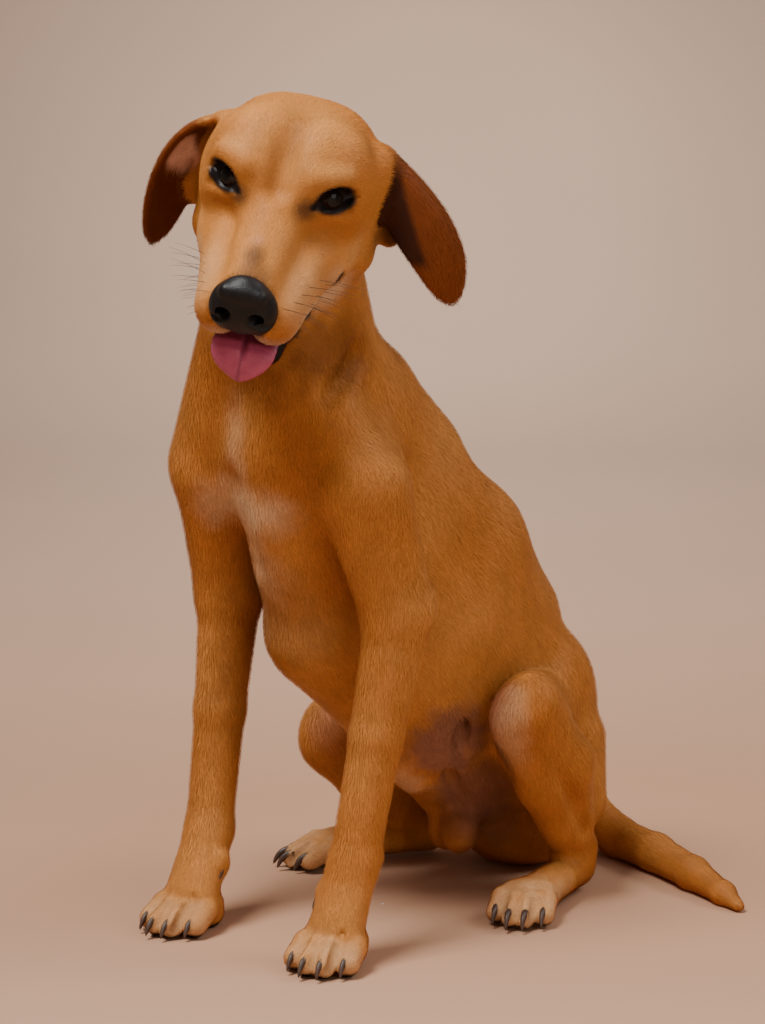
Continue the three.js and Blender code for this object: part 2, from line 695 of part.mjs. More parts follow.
function geometrySolid(geometry) {
  geometry.deleteAttribute("normal");
  geometry.deleteAttribute("uv");
  const merged = mergeVertices(geometry);
  const vertProperties = new Float32Array(merged.attributes.position.array);
  const triVerts = new Uint32Array(merged.index.array);
  return new wasm.Manifold(new wasm.Mesh({ numProp: 3, vertProperties, triVerts }));
}

// A box between two corners of a frame.
function boxSolid(f, from, to, grow = 0) {
  const size = sub(to, from).map((v) => v + 2 * grow);
  const matrix = new THREE.Matrix4().makeBasis(...[X, Y, Z].map((v) => new THREE.Vector3(...f.turn(v))));
  matrix.setPosition(new THREE.Vector3(...f.at(mix(from, to, 0.5))));
  return geometrySolid(new THREE.BoxGeometry(...size).applyMatrix4(matrix));
}

// The mesh with each vertex moved outwards, far enough to move the faces round it by that much.
function grown({ vertices, faces }, by) {
  const around = vertices.map(() => []);
  for (const f of faces) {
    const [a, b, c] = f.map((v) => vertices[v]);
    const n = cross(sub(b, a), sub(c, a));
    for (const v of f) around[v].push(n);
  }
  const moved = vertices.map((p, i) => {
    const n = unit(around[i].reduce((sum, m) => add(sum, m), [0, 0, 0]));
    const least = Math.min(...around[i].map((m) => dot(n, unit(m))));
    return add(p, n, by / Math.max(0.35, least));
  });
  return { faces, vertices: moved };
}

// A small closed mesh of its own, made from its forms.
function formMesh(forms, step, keep) {
  const group = hullOf(forms);
  const reach = group.radius + step;
  const [xs, ys, zs] = group.centre.map((c) => evenSteps(c - reach, c + reach, step));
  return thin(meshField((x, y, z) => groupDistance(group, x, y, z), xs, ys, zs, step), keep);
}

// The largest closed body of a solid, without the crumbs that a cut leaves beside it.
function largestBody(solid) {
  const { vertProperties, triVerts } = solid.getMesh();
  const vertices = [];
  for (let i = 0; i < vertProperties.length; i += 3) vertices.push([...vertProperties.slice(i, i + 3)]);
  const root = vertices.map((_, i) => i);
  const find = (v) => {
    while (root[v] !== v) v = root[v] = root[root[v]];
    return v;
  };
  const faces = [];
  for (let i = 0; i < triVerts.length; i += 3) faces.push([...triVerts.slice(i, i + 3)]);
  for (const [a, b, c] of faces) {
    root[find(a)] = find(b);
    root[find(b)] = find(c);
  }
  const volumes = new Map();
  for (const f of faces) {
    const [a, b, c] = f.map((v) => vertices[v]);
    const body = find(f[0]);
    volumes.set(body, (volumes.get(body) ?? 0) + dot(a, cross(b, c)) / 6);
  }
  const [body] = [...volumes].reduce((most, entry) => (entry[1] > most[1] ? entry : most));
  return packed(vertices, faces.filter((f) => find(f[0]) === body));
}

// ---- parting ----
// The space nearer to one part's forms than to the others', as far as the flesh reaches.
function territory(own, others) {
  const [mine, theirs] = [own, others].map((side) => (typeof side === "function" ? side : nearest(side)));
  const field = (x, y, z) => {
    return Math.max(mine(x, y, z) - theirs(x, y, z), fleshDistance(x, y, z) - CUTTER_REACH);
  };
  const [xs, ys, zs] = [0, 1, 2].map((k) => {
    return evenSteps(ROOM_LOW[k] - CUTTER_REACH, ROOM_HIGH[k] + CUTTER_REACH, CUTTER_STEP);
  });
  return thin(meshField(field, xs, ys, zs, CUTTER_STEP), CUTTER_TRIANGLES);
}

// The body with room round a mesh: it gives way to the mesh moved a little each way.
function givingWay(body, { vertices, faces }) {
  let rest = body;
  for (const way of [X, Y, Z]) {
    for (const step of [-GAP / 2, GAP / 2]) {
      rest = rest.subtract(solidOf({ faces, vertices: vertices.map((p) => add(p, way, step)) }));
    }
  }
  return rest;
}

// Both sides of a cut. Where the cutter folds sharply its grown copy falls short, so the rest also
// gives way to the piece itself.
function partByMesh(body, cutter) {
  const piece = body.intersect(solidOf(cutter));
  const rest = body.subtract(solidOf(grown(cutter, GAP)));
  return [piece, givingWay(rest, largestBody(piece))];
}

function partByBox(body, f, from, to) {
  return [body.intersect(boxSolid(f, from, to)), body.subtract(boxSolid(f, from, to, GAP))];
}

// ---- claws and eyes ----
const CLAW_SIDES = 6;
const CLAW_RINGS = 3;
const CLAW_TAPER = 0.64; // how much of its thickness a claw loses by its tip

// A claw is a bent cone with a blunt tip: a ring at each step along its curve.
function clawMesh(f, points, radius, grow = 0) {
  const curve = new THREE.CatmullRomCurve3(points.map((p) => new THREE.Vector3(...f.at(p))));
  const across = new THREE.Vector3(...f.turn(X));
  const vertices = [];
  const faces = [];
  for (let k = 0; k <= CLAW_RINGS; k++) {
    const t = k / CLAW_RINGS;
    const centre = curve.getPoint(t);
    const up = new THREE.Vector3().crossVectors(across, curve.getTangent(t)).normalize();
    const r = radius * (1 - CLAW_TAPER * t ** 1.4) + grow;
    for (let j = 0; j < CLAW_SIDES; j++) {
      const a = (2 * Math.PI * j) / CLAW_SIDES;
      const rim = centre.clone().addScaledVector(across, r * 0.8 * Math.cos(a));
      vertices.push(rim.addScaledVector(up, r * Math.sin(a)).toArray());
    }
  }
  const cap = 0.4 + grow;
  const end = (t, along) => curve.getPoint(t).addScaledVector(curve.getTangent(t), along).toArray();
  const first = vertices.push(end(0, -cap)) - 1;
  const last = vertices.push(end(1, cap)) - 1;
  const lastRing = CLAW_RINGS * CLAW_SIDES;
  for (let j = 0; j < CLAW_SIDES; j++) {
    const next = (j + 1) % CLAW_SIDES;
    faces.push([first, j, next], [last, lastRing + next, lastRing + j]);
    for (let base = 0; base < lastRing; base += CLAW_SIDES) {
      const [a, b] = [base + j, base + next];
      faces.push([a, b + CLAW_SIDES, b], [a, a + CLAW_SIDES, b + CLAW_SIDES]);
    }
  }
  return { vertices, faces };
}

// The four claws of a paw. The middle two toes reach furthest forwards.
function pawClaws(name, { side, foot, toesOut }, size) {
  const f = pawFrame(foot, toesOut, side);
  return TOES.map((i, k) => {
    const x = toeAcross(i, size) * 1.08;
    const y = toeBack(i) - 33;
    const points = [[x, y + 1, 13], [x, y - 7, 10.5], [x * 1.02, y - 12, 2.8]];
    return { name: `claw_${name}_${k + 1}`, f, radius: 3.2, points };
  });
}

function dewclaw(name, { side, foot, toesOut }) {
  const x = -side * 16.5;
  const points = [[x, 14, 45], [x * 1.16, 9, 40], [x * 1.12, 5, 34]];
  return { name: `dewclaw_${name}`, f: pawFrame(foot, toesOut, side), radius: 2.6, points };
}

function claws() {
  const sides = [["left", LEFT_FORE, LEFT_HIND], ["right", RIGHT_FORE, RIGHT_HIND]];
  return sides.flatMap(([word, fore, hind]) => [
    ...pawClaws(`fore_${word}`, fore, FORE_PAW),
    ...pawClaws(`hind_${word}`, hind, HIND_PAW),
    dewclaw(word, fore),
  ]);
}

function eyeGeometry(s, grow = 0) {
  return new THREE.SphereGeometry(EYE_RADIUS + grow, 14, 8).translate(...HEAD.at([s * EYE_APART, 0, 0]));
}

// ---- the whole dog ----
const TAN = { color: 0xb9793f, roughness: 0.75, metalness: 0 };
const EAR_BROWN = { color: 0x8a4e24, roughness: 0.75, metalness: 0 };
const NOSE_BLACK = { color: 0x1b1a1c, roughness: 0.45, metalness: 0 };
const TONGUE_PINK = { color: 0xc06a8c, roughness: 0.35, metalness: 0 };
const EYE_DARK = { color: 0x120c0a, roughness: 0.08, metalness: 0 };
const CLAW_HORN = { color: 0x4a352c, roughness: 0.5, metalness: 0 };

const group = new THREE.Group();

function addNode(name, geometry, look) {
  const mesh = new THREE.Mesh(geometry, new THREE.MeshStandardMaterial(look));
  mesh.name = name;
  group.add(mesh);
}

function meshGeometry({ vertices, faces }) {
  const geometry = new THREE.BufferGeometry();
  geometry.setAttribute("position", new THREE.BufferAttribute(new Float32Array(vertices.flat()), 3));
  geometry.setIndex(faces.flat());
  geometry.computeVertexNormals();
  return geometry;
}

const addSolid = (name, solid, look) => addNode(name, meshGeometry(largestBody(solid)), look);

// A level frame at a height over or under a place.
const level = (place, z) => frame([place[0], place[1], z], X, Y, Z);

// A foreleg is parted under the elbow and over the wrist, a hind leg under the knee and over the hock.
const foreParts = ({ elbow, wrist }) => ({
  names: ["upper", "lower", "paw"],
  upper: level(elbow, elbow[2] - 22),
  lower: level(wrist, wrist[2] - 8),
});
const hindParts = ({ knee, hock }) => ({
  names: ["thigh", "shank", "foot"],
  upper: level(knee, knee[2] - 30),
  lower: level(hock, hock[2] + 22),
});
const LEGS = [
  { name: "foreleg_left", own: "leftFore", ...foreParts(LEFT_FORE) },
  { name: "foreleg_right", own: "rightFore", ...foreParts(RIGHT_FORE) },
  { name: "hindleg_left", own: "leftHind", ...hindParts(LEFT_HIND) },
  { name: "hindleg_right", own: "rightHind", ...hindParts(RIGHT_HIND) },
];

function fleshSolid() {
  const [[x0, y0, z0], [x1, y1, z1]] = [ROOM_LOW, ROOM_HIGH];
  const surface = meshField(
    fleshDistance,
    steps(x0, x1, [[-120, 120]]),
    steps(y0, y1, [[y0, -60]]),
    steps(z0, z1, [[z0, 60], [400, z1]]),
  );
  const detail = ([, y, z]) => (z > 430 || (z < 50 && y < -80) ? 4 : 1); // head and paws
  const aboveFloor = boxSolid(WORLD, [x0, y0, 0], ROOM_HIGH);
  return solidOf(thin(surface, FLESH_TRIANGLES, detail)).intersect(aboveFloor);
}

// The corners of a box that holds everything on one side of a plane z = 0 in its frame.
const BESIDE_LOW = [-300, -300, 0];
const BESIDE_HIGH = [300, 300, 500];

// Cuts the body across at a height, or at a leaning plane: what is above, and what is below.
const partAcross = (body, f) => partByBox(body, f, BESIDE_LOW, BESIDE_HIGH);

// The planes that part the trunk, each at a place and leaning forwards by an angle.
const leaning = (place, degrees) => {
  const [c, s] = [Math.cos(rad(degrees)), Math.sin(rad(degrees))];
  return frame(place, X, [0, c, s], [0, -s, c]);
};
const COLLAR = leaning([0, -220, 372], 20);
const WAIST = leaning([0, -100, 200], 30);
const CROUP = leaning([0, -50, 120], 30);

// What is left of the body once the eyes, the nose, the tongue and the claws are added and cleared.
function addFeatures(body) {
  let rest = body;
  for (const [word, s] of [["left", 1], ["right", -1]]) {
    rest = rest.subtract(geometrySolid(eyeGeometry(s, GAP)));
    addNode(`eye_${word}`, eyeGeometry(s), EYE_DARK);
  }
  for (const [name, forms, step, look] of [
    ["nose", nose(), 1.8, NOSE_BLACK],
    ["tongue", tongue(), 2.2, TONGUE_PINK],
  ]) {
    const mesh = formMesh(forms, step, MOUTH_TRIANGLES);
    rest = givingWay(rest.subtract(solidOf(grown(mesh, MOUTH_GAP))), mesh);
    addNode(name, meshGeometry(mesh), look);
  }
  for (const { name, f, points, radius } of claws()) {
    rest = rest.subtract(solidOf(clawMesh(f, points, radius, GAP)));
    addSolid(name, solidOf(clawMesh(f, points, radius)), CLAW_HORN);
  }
  return rest;
}

function addHead(body) {
  let [head, rest] = partByMesh(body, territory(headDistance, ["neck", "trunk", "leftFore", "rightFore"]));
  let piece;
  const earBoxes = [["left", [66, -20, -130], [190, 130, 60]], ["right", [-190, -20, -130], [-66, 130, 60]]];
  for (const [word, from, to] of earBoxes) {
    [piece, head] = partByBox(head, HEAD, from, to);
    addSolid(`ear_${word}`, piece, EAR_BROWN);
  }
  [piece, head] = partByMesh(head, territory(["jaw"], ["head"]));
  addSolid("lower_jaw", piece, TAN);
  addSolid("head", head, TAN);
  return rest;
}

// Each leg comes off the body whole, and is parted in three across.
function addLegs(body) {
  let rest = body;
  const others = [...LEGS.map(({ own }) => own), "tail"];
  for (const { name, own, upper, lower, names } of LEGS) {
    let whole;
    let piece;
    others.shift();
    [whole, rest] = partByMesh(rest, territory([own], ["trunk", "neck", ...others]));
    [piece, whole] = partAcross(whole, upper);
    addSolid(`${name}_${names[0]}`, piece, TAN);
    [piece, whole] = partAcross(whole, lower);
    addSolid(`${name}_${names[1]}`, piece, TAN);
    addSolid(`${name}_${names[2]}`, whole, TAN);
  }
  return rest;
}

function addTail(body) {
  const [tail, rest] = partByMesh(body, territory(["tail"], ["trunk"]));
  const [tip, base] = partByBox(tail, WORLD, [104, -60, -20], ROOM_HIGH);
  addSolid("tail_base", base, TAN);
  addSolid("tail_tip", tip, TAN);
  return rest;
}

function build() {
  let body = addTail(addLegs(addHead(addFeatures(fleshSolid()))));
  let piece;
  for (const [name, plane] of [["neck", COLLAR], ["chest", WAIST], ["belly", CROUP]]) {
    [piece, body] = partAcross(body, plane);
    addSolid(name, piece, TAN);
  }
  addSolid("rump", body, TAN);
}

build();
export default group;
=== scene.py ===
"""A short-coated tan dog, life size, sitting upright: its skin, coat, eyes, nose, tongue, claws and whiskers.

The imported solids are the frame. One skin replaces every node of flesh. It is the smooth surface of the
same tapered forms that make the solids, sunk by the coat's depth, and a coat of short tufts lies over it.
Shapes are worked out in millimetres and become metres when a mesh is made.
"""

import math
from types import SimpleNamespace

import bpy
import numpy as np
import openvdb
from bpy.props import FloatProperty, FloatVectorProperty, IntProperty, PointerProperty
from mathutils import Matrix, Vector
from mathutils.bvhtree import BVHTree


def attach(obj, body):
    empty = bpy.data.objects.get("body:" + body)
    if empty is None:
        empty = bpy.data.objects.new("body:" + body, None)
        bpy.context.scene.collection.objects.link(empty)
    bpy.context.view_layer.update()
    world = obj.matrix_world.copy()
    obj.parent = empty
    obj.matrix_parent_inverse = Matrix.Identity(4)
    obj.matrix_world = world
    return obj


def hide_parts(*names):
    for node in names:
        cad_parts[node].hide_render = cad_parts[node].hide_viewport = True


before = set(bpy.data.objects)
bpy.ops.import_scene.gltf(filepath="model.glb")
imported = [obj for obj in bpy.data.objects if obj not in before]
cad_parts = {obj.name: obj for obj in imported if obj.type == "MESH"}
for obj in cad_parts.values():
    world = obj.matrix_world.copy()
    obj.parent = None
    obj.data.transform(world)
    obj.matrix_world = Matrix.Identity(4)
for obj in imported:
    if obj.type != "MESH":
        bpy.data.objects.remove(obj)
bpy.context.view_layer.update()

bl_info = {
    "name": "Sitting dog",
    "version": (1, 0, 0),
    "blender": (4, 5, 0),
    "location": "3D View > Sidebar > Dog",
    "description": "Builds a sitting short-coated dog over its packed frame",
    "category": "Object",
}

MM = 0.001
rng = np.random.default_rng(7)

# ---- frames and forms -----------------------------------------------------------------------------


def unit(v):
    v = np.asarray(v, float)
    return v / max(np.linalg.norm(v), 1e-9)


def units(rows, least=1e-6):
    """Each row made one long, and left alone where it is nearly nothing."""
    return rows / np.maximum(np.linalg.norm(rows, axis=1, keepdims=True), least)


def row_dot(a, b):
    return np.einsum("ij,ij->i", a, b)[:, None]


class Place:
    """A frame of its own: an origin and the directions of its left, back and up."""

    def __init__(self, origin, left=(1, 0, 0), back=(0, 1, 0), up=(0, 0, 1)):
        self.origin = np.array(origin, float)
        self.axes = np.array([left, back, up], float)

    def at(self, p):
        return self.origin + np.asarray(p, float) @ self.axes

    def turn(self, v):
        return np.asarray(v, float) @ self.axes

    def local(self, points):
        return (points - self.origin.astype(np.float32)) @ self.axes.T.astype(np.float32)


WORLD = Place((0, 0, 0))


def turned(axis, degrees):
    a = math.radians(degrees)
    c, s = math.cos(a), math.sin(a)
    return {
        "x": np.array([[1, 0, 0], [0, c, -s], [0, s, c]]),
        "y": np.array([[c, 0, s], [0, 1, 0], [-s, 0, c]]),
        "z": np.array([[c, -s, 0], [s, c, 0], [0, 0, 1]]),
    }[axis]


HEAD_AT = (40, -288, 528)
HEAD_TURN, HEAD_DOWN, HEAD_TILT = 36, 34, 12
HEAD_TURNED = turned("z", HEAD_TURN) @ turned("y", HEAD_TILT) @ turned("x", HEAD_DOWN)
HEAD = Place(HEAD_AT, *HEAD_TURNED.T)

EYE_RADIUS = 11.0
EYE_APART, EYE_TURN, EYE_UP = 33, 36, 28


def eye_place(s):
    """The frame of one eyeball; s is 1 on the left and -1 on the right."""
    m = HEAD_TURNED @ turned("z", s * EYE_TURN) @ turned("x", -EYE_UP)
    return Place(HEAD.at((s * EYE_APART, 0, 0)), *m.T)


def pair(size):
    return size if isinstance(size, tuple) else (size, size)


def limb(a, b, size_a, size_b, blend=12.0, place=WORLD, side=(1, 0, 0), lie=None):
    """A tapered bar from a to b. A size is a radius, or a half width along side and a half depth."""
    (wa, da), (wb, db) = pair(size_a), pair(size_b)
    p = place.at(a)
    span = place.at(b) - p
    axis = unit(span)
    along = place.turn(side)
    n = unit(along - axis * (along @ axis))
    form = SimpleNamespace(p=p, span=span, axis=axis, n=n, m=np.cross(axis, n), cap=None, blend=blend)
    form.wa, form.da, form.wb, form.db, form.takes = wa, da, wb, db, False
    form.lie = axis if lie is None else unit(lie)
    return form


def lump(c, sizes, blend=12.0, place=WORLD, lie=(0, 0, 0)):
    """An ellipsoid with three half sizes along its frame's axes."""
    rx, ry, rz = sizes
    form = SimpleNamespace(p=place.at(c), span=None, axis=place.turn((0, 1, 0)), n=place.turn((1, 0, 0)))
    form.m, form.cap, form.blend, form.takes = place.turn((0, 0, 1)), ry, blend, False
    form.wa = form.wb = rx
    form.da = form.db = rz
    form.lie = np.asarray(lie, float)
    return form


def hollow(form):
    form.takes = True
    return form


def both(make):
    return [make(1), make(-1)]


def form_distance(o, points):
    q = points - o.p.astype(np.float32)
    if o.span is None:
        w, d = o.wa, o.da
    else:
        h = np.clip(q @ (o.span / (o.span @ o.span)).astype(np.float32), 0, 1)
        q = q - h[:, None] * o.span.astype(np.float32)
        w = o.wa + (o.wb - o.wa) * h
        d = o.da + (o.db - o.da) * h
    c = np.minimum(w, d) if o.cap is None else o.cap
    u = (q @ o.n.astype(np.float32)) / w
    v = (q @ o.m.astype(np.float32)) / d
    t = (q @ o.axis.astype(np.float32)) / c
    k0 = np.sqrt(u * u + v * v + t * t)
    k1 = np.sqrt((u / w) ** 2 + (v / d) ** 2 + (t / c) ** 2)
    return k0 * (k0 - 1) / np.maximum(k1, 1e-6)


def melt(a, b, k):
    return np.minimum(a, b) - np.maximum(k - np.abs(a - b), 0) ** 2 / (4 * k)


def carve(a, b, k):
    return -melt(-a, b, k)


def group_of(forms):
    ends = [(o.p, max(o.wa, o.da, o.cap or 0)) for o in forms if not o.takes]
    ends += [(o.p + o.span, max(o.wb, o.db)) for o in forms if not o.takes and o.span is not None]
    low = np.min([p - r for p, r in ends], axis=0)
    high = np.max([p + r for p, r in ends], axis=0)
    return SimpleNamespace(forms=forms, centre=(low + high) / 2, radius=np.linalg.norm(high - low) / 2)


FAR = 30.0  # beyond this the distance to a group is only that to the ball round it


def group_distance(group, points):
    q = points - group.centre.astype(np.float32)
    clear = np.sqrt(np.einsum("ij,ij->i", q, q)) - np.float32(group.radius)
    near = np.flatnonzero(clear < FAR)
    if len(near):
        p = points[near]
        d = np.full(len(p), 1e3, np.float32)
        for o in group.forms:
            e = form_distance(o, p)
            d = carve(d, e, o.blend) if o.takes else melt(d, e, o.blend)
        clear[near] = d
    return clear


# ---- the dog's joints -----------------------------------------------------------------------------

LEFT_FORE = dict(
    side=1, blade=(27, -178, 366), shoulder=(66, -236, 318), elbow=(81, -217, 232),
    wrist=(93, -274, 66), foot=(98, -297, 0), toes_out=20,
)
RIGHT_FORE = dict(
    side=-1, blade=(-27, -178, 366), shoulder=(-70, -245, 318), elbow=(-71, -234, 232),
    wrist=(-51, -275, 66), foot=(-43, -300, 0), toes_out=-10,
)
LEFT_HIND = dict(
    side=1, hip=(42, -24, 110), knee=(96, -100, 146), hock=(86, -34, 30), foot=(113, -117, 0), toes_out=30
)
RIGHT_HIND = dict(
    side=-1, hip=(-42, -24, 100), knee=(-92, -110, 104), hock=(-66, -30, 30), foot=(-92, -109, 0), toes_out=30
)
FORE_PAW, HIND_PAW = 0.95, 0.85
TOES = (-1.5, -0.5, 0.5, 1.5)
DOWN = (0, 0.15, -1)


def offset(p, *by):
    return tuple(np.add(p, by))


def mid(p, q, t):
    return tuple(np.asarray(p) + (np.asarray(q) - p) * t)


def paw_place(foot, toes_out, side):
    a = math.radians(toes_out * side)
    return Place(foot, (math.cos(a), math.sin(a), 0), (-math.sin(a), math.cos(a), 0))


def toe_across(i, size):
    return i * 12.6 * size


def toe_back(i):
    return 0 if abs(i) < 1 else 10


def trunk():
    back = (0, 0.75, -0.66)
    return [
        limb((0, -201, 328), (0, -116, 222), (52, 81), (74, 108), 20),
        limb((0, -116, 222), (0, -72, 164), (74, 108), (70, 101), 8),
        limb((0, -72, 164), (0, -34, 106), (70, 101), (58, 80), 8),
        limb((0, -34, 106), (0, -14, 66), (58, 80), (50, 56), 8),
        limb((0, -240, 338), (0, -228, 262), (42, 42), (30, 34), 24, lie=(0, 0, -1)),
        limb((-4, -216, 262), (-5, -200, 210), (38, 34), (45, 47), 20, lie=(0, 0.4, -1)),
        limb((-5, -200, 210), (-2, -152, 172), (45, 47), (47, 47), 8),
        limb((0, -160, 382), (0, -120, 332), (22, 25), (27, 31), 30, lie=back),
        lump((0, 4, 22), (44, 38, 24), 24, lie=DOWN),
    ]


def neck():
    down = (0, 0.3, -1)
    return [
        limb((0, -210, 366), (-2, -236, 436), (48, 60), (47, 57), 16, lie=down),
        limb((-2, -236, 436), (8, -248, 500), (47, 57), (42, 51), 8, lie=down),
        limb((-72, -248, 330), (-32, -256, 430), 33, 31, 18, lie=down),
        limb((58, -240, 326), (10, -252, 430), 28, 26, 18, lie=down),
    ]


def head():
    f = HEAD
    forms = both(lambda s: limb((s * 20, 24, -3), (s * 17, 54, -10), (39, 40), (38, 36), 12, f))
    forms += [limb((0, 62, -10), (0, 86, -22), (38, 30), (24, 20), 20, f)]
    forms += both(lambda s: limb((s * 17, 4, 3), (s * 20, 26, 9), (19, 17), (24, 22), 18, f))
    forms += [limb((0, -4, -12), (0, -82, -26), (24, 21), (18, 15), 18, f)]
    forms += both(lambda s: limb((s * 42, 6, -20), (s * 46, 42, -18), (14, 17), (14, 20), 18, f))
    forms += both(lambda s: limb((s * 43, 46, -30), (s * 45, 20, -58), (20, 26), (20, 22), 18, f))
    forms += both(lambda s: limb((s * 31, -4, -42), (s * 18, -80, -47), (20, 23), (17, 19), 12, f))
    forms += both(lambda s: lump((s * 41, -8, -46), (11, 18, 14), 12, f))
    forms += both(lambda s: lump((s * 56, 50, -10), (14, 18, 20), 12, f))
    forms += both(lambda s: lump((s * 70, 42, -45), (11, 11, 20), 10, f))
    # brows, and the furrow between them
    forms += both(lambda s: limb((s * 24, -6, 16), (s * 42, 2, 17), 6, 5, 10, f))
    forms += [hollow(limb((0, -18, 12), (0, 18, 47), 5, 5, 10, f))]
    # lids: a shell round the eyeball, a narrow almond opening, and a crease below it
    forms += both(lambda s: lump((0, 0, 0), (14.2, 14.2, 13.4), 8, eye_place(s)))
    forms += both(lambda s: hollow(limb((-s * 14, -12, -3), (s * 13, -10, 0.5), 3.0, 2.6, 2.0, eye_place(s))))
    forms += both(lambda s: hollow(lump((0, -15, -0.6), (12, 9, 8.8), 2.0, eye_place(s))))
    crease = (-8, -13, -11.5), (8, -11.5, -10.5)
    forms += both(lambda s: hollow(limb(*((s * x, y, z) for x, y, z in crease), 1.0, 1.0, 5, eye_place(s))))
    # whisker pads, and the line between the halves of the upper lip
    forms += both(lambda s: lump((s * 21, -76, -49), (13, 15, 14), 8, f))
    forms += [hollow(limb((0, -102, -56), (0, -97, -70), 1.6, 1.2, 4, f))]
    # the ears' inner hollows
    forms += [hollow(limb((-72, 34, -2), (-80, 38, -30), 9, 7, 6, f))]
    forms += [hollow(limb((80, 34, 0), (80, 30, -36), 7, 8, 6, f))]
    return forms


def lower_jaw():
    f = HEAD
    forms = [limb((0, 30, -72), (3, -66, -90), (32, 15), (22, 13), 10, f)]
    forms += both(lambda s: limb((s * 36, 32, -58), (s * 22 + 2, -26, -80), (14, 17), (12, 12), 12, f))
    forms += [hollow(limb((3, -14, -68), (4, -110, -69), (24, 8), (28, 12), 5, f))]
    return forms


LIP_CORNER = ((50, -20, -48), (46, -25, -56), (41, -27, -66), (36, -37, -75), (29, -52, -82), (24, -66, -84))
LIP_SIZES = ((8, 2.2), (9, 2.4), (9, 2.4), (8, 2.2), (6, 2.2), (5, 3.0))


def lip_line():
    """The dark cleft from the mouth's corner to beside the tongue, on each side."""
    forms = []
    for s in (1, -1):
        points = [(s * x, y, z) for x, y, z in LIP_CORNER]
        forms += [limb(points[k], points[k + 1], LIP_SIZES[k], LIP_SIZES[k + 1], 1.0, HEAD) for k in range(5)]
    return forms


def lip_bands():
    """The bare black rims of the lower lip beside the tongue."""
    return [
        limb((25, -44, -84), (25, -68, -88), 4.5, 5.5, 1, HEAD),
        limb((25, -68, -88), (18, -80, -95), 5.5, 4, 1, HEAD),
        limb((-21, -60, -84), (-20, -78, -88), 3, 3, 1, HEAD),
    ]


def nose():
    f = HEAD
    forms = [lump((0, -90, -32), (20, 13, 23), 6, f)]
    forms += both(lambda s: lump((s * 12, -92, -34), (11, 12, 15), 6, f))
    forms += [limb((-11, -97, -17.5), (11, -97, -17.5), 5, 5, 5, f, side=(0, 0, 1))]
    forms += both(lambda s: hollow(limb((s * 9.5, -109, -34), (s * 13, -97, -31), 5.6, 4.2, 2.0, f)))
    forms += both(lambda s: hollow(limb((s * 12, -106, -37), (s * 23, -96, -39), 3.0, 1.5, 1.6, f)))
    forms += [hollow(limb((0, -108, -32), (0, -103, -56), 1.5, 1.3, 2, f))]
    return forms


TONGUE_HALF_WIDTH, TONGUE_HALF_THICK = 21.8, 4.8
TONGUE_BEND = ((1, -30, -70), (1, -64, -72), (1, -86, -75), (2, -95, -90.5))  # root to tip


def through(points, t):
    """A smooth curve through several points, t from 0 to 1."""
    p = np.array(points, float)
    at = min(t * (len(p) - 1), len(p) - 1 - 1e-9)
    k, u = int(at), at - int(at)
    before = p[k - 1] if k else 2 * p[0] - p[1]
    after = p[k + 2] if k + 2 < len(p) else 2 * p[-1] - p[-2]
    a, b = p[k], p[k + 1]
    return 0.5 * (2 * a + (b - before) * u + (2 * before - 5 * a + 4 * b - after) * u**2
                  + (3 * a - before - 3 * b + after) * u**3)


def tongue():
    """A flat bar along its bend that rounds off to the tip, with a groove down its middle."""
    forms = []
    stops = np.concatenate([[0, 0.35, 0.6], 1 - 0.4 * np.linspace(0.85, 0, 9) ** 1.6])

    def size(t):
        return TONGUE_HALF_WIDTH * math.sqrt(1.02 - max(0, (t - 0.6) / 0.4) ** 2.2), TONGUE_HALF_THICK - t

    for t0, t1 in zip(stops, stops[1:]):
        forms += [limb(through(TONGUE_BEND, t0), through(TONGUE_BEND, t1), size(t0), size(t1), 2, HEAD)]
    return forms + [hollow(limb((1, -66, -64), (2, -98, -75), 2.2, 1.4, 3, HEAD))]


def creases(place, size):
    """The lines between the toes."""
    lines = []
    for i in (-1, 0, 1):
        x, back = toe_across(i, size), 6 if i else 0
        lines += [limb((x * 0.95, -19 + back, 28.5), (x, -29 + back, 23), 0.6, 2.4, 2.5, place)]
        lines += [limb((x, -29 + back, 23), (x * 1.1, -42 + back, 8), 2.4, 3.2, 2.5, place)]
    return lines


def toes(place, size):
    lie = -place.axes[1] + (0, 0, -0.3)
    forms = [lump((0, 6, 10), (21 * size, 20, 14), 10, place, lie)]
    for i in TOES:
        x = toe_across(i, size)
        knuckle = (x, -18 + toe_back(i), 16.5)
        forms += [limb((x * 0.7, 6, 18), knuckle, 9.6 * size, 9.8 * size, 5, place)]
        forms += [limb(knuckle, (x * 1.08, -32 + toe_back(i), 9), 9.9 * size, 9.4 * size, 1.8, place)]
    return forms + [hollow(o) for o in creases(place, size)]


def foreleg(side, blade, shoulder, elbow, wrist, foot, toes_out):
    middle = mid(elbow, wrist, 0.5)
    paw = paw_place(foot, toes_out, side)
    return [
        limb(blade, shoulder, (13, 20), (28, 36), 16, lie=DOWN),
        limb(shoulder, elbow, (28, 36), (23, 29), 16, lie=DOWN),
        limb(offset(elbow, 0, 24, 8), offset(elbow, 0, 4, 0), 12, 18, 10, lie=DOWN),
        limb(elbow, middle, (21.5, 26), (18, 20.5), 10, lie=DOWN),
        limb(middle, wrist, (18, 20.5), (18, 17), 6, lie=DOWN),
        limb(wrist, offset(foot, 0, 0, 24), (18, 17), (23, 15.5), 8, lie=(0, -0.3, -1)),
        lump(offset(wrist, side * 4, 17, 4), (7, 6, 8), 8),
        lump((-side * 15, 15, 46), (6, 8, 10), 6, paw),
        *toes(paw, FORE_PAW),
    ]


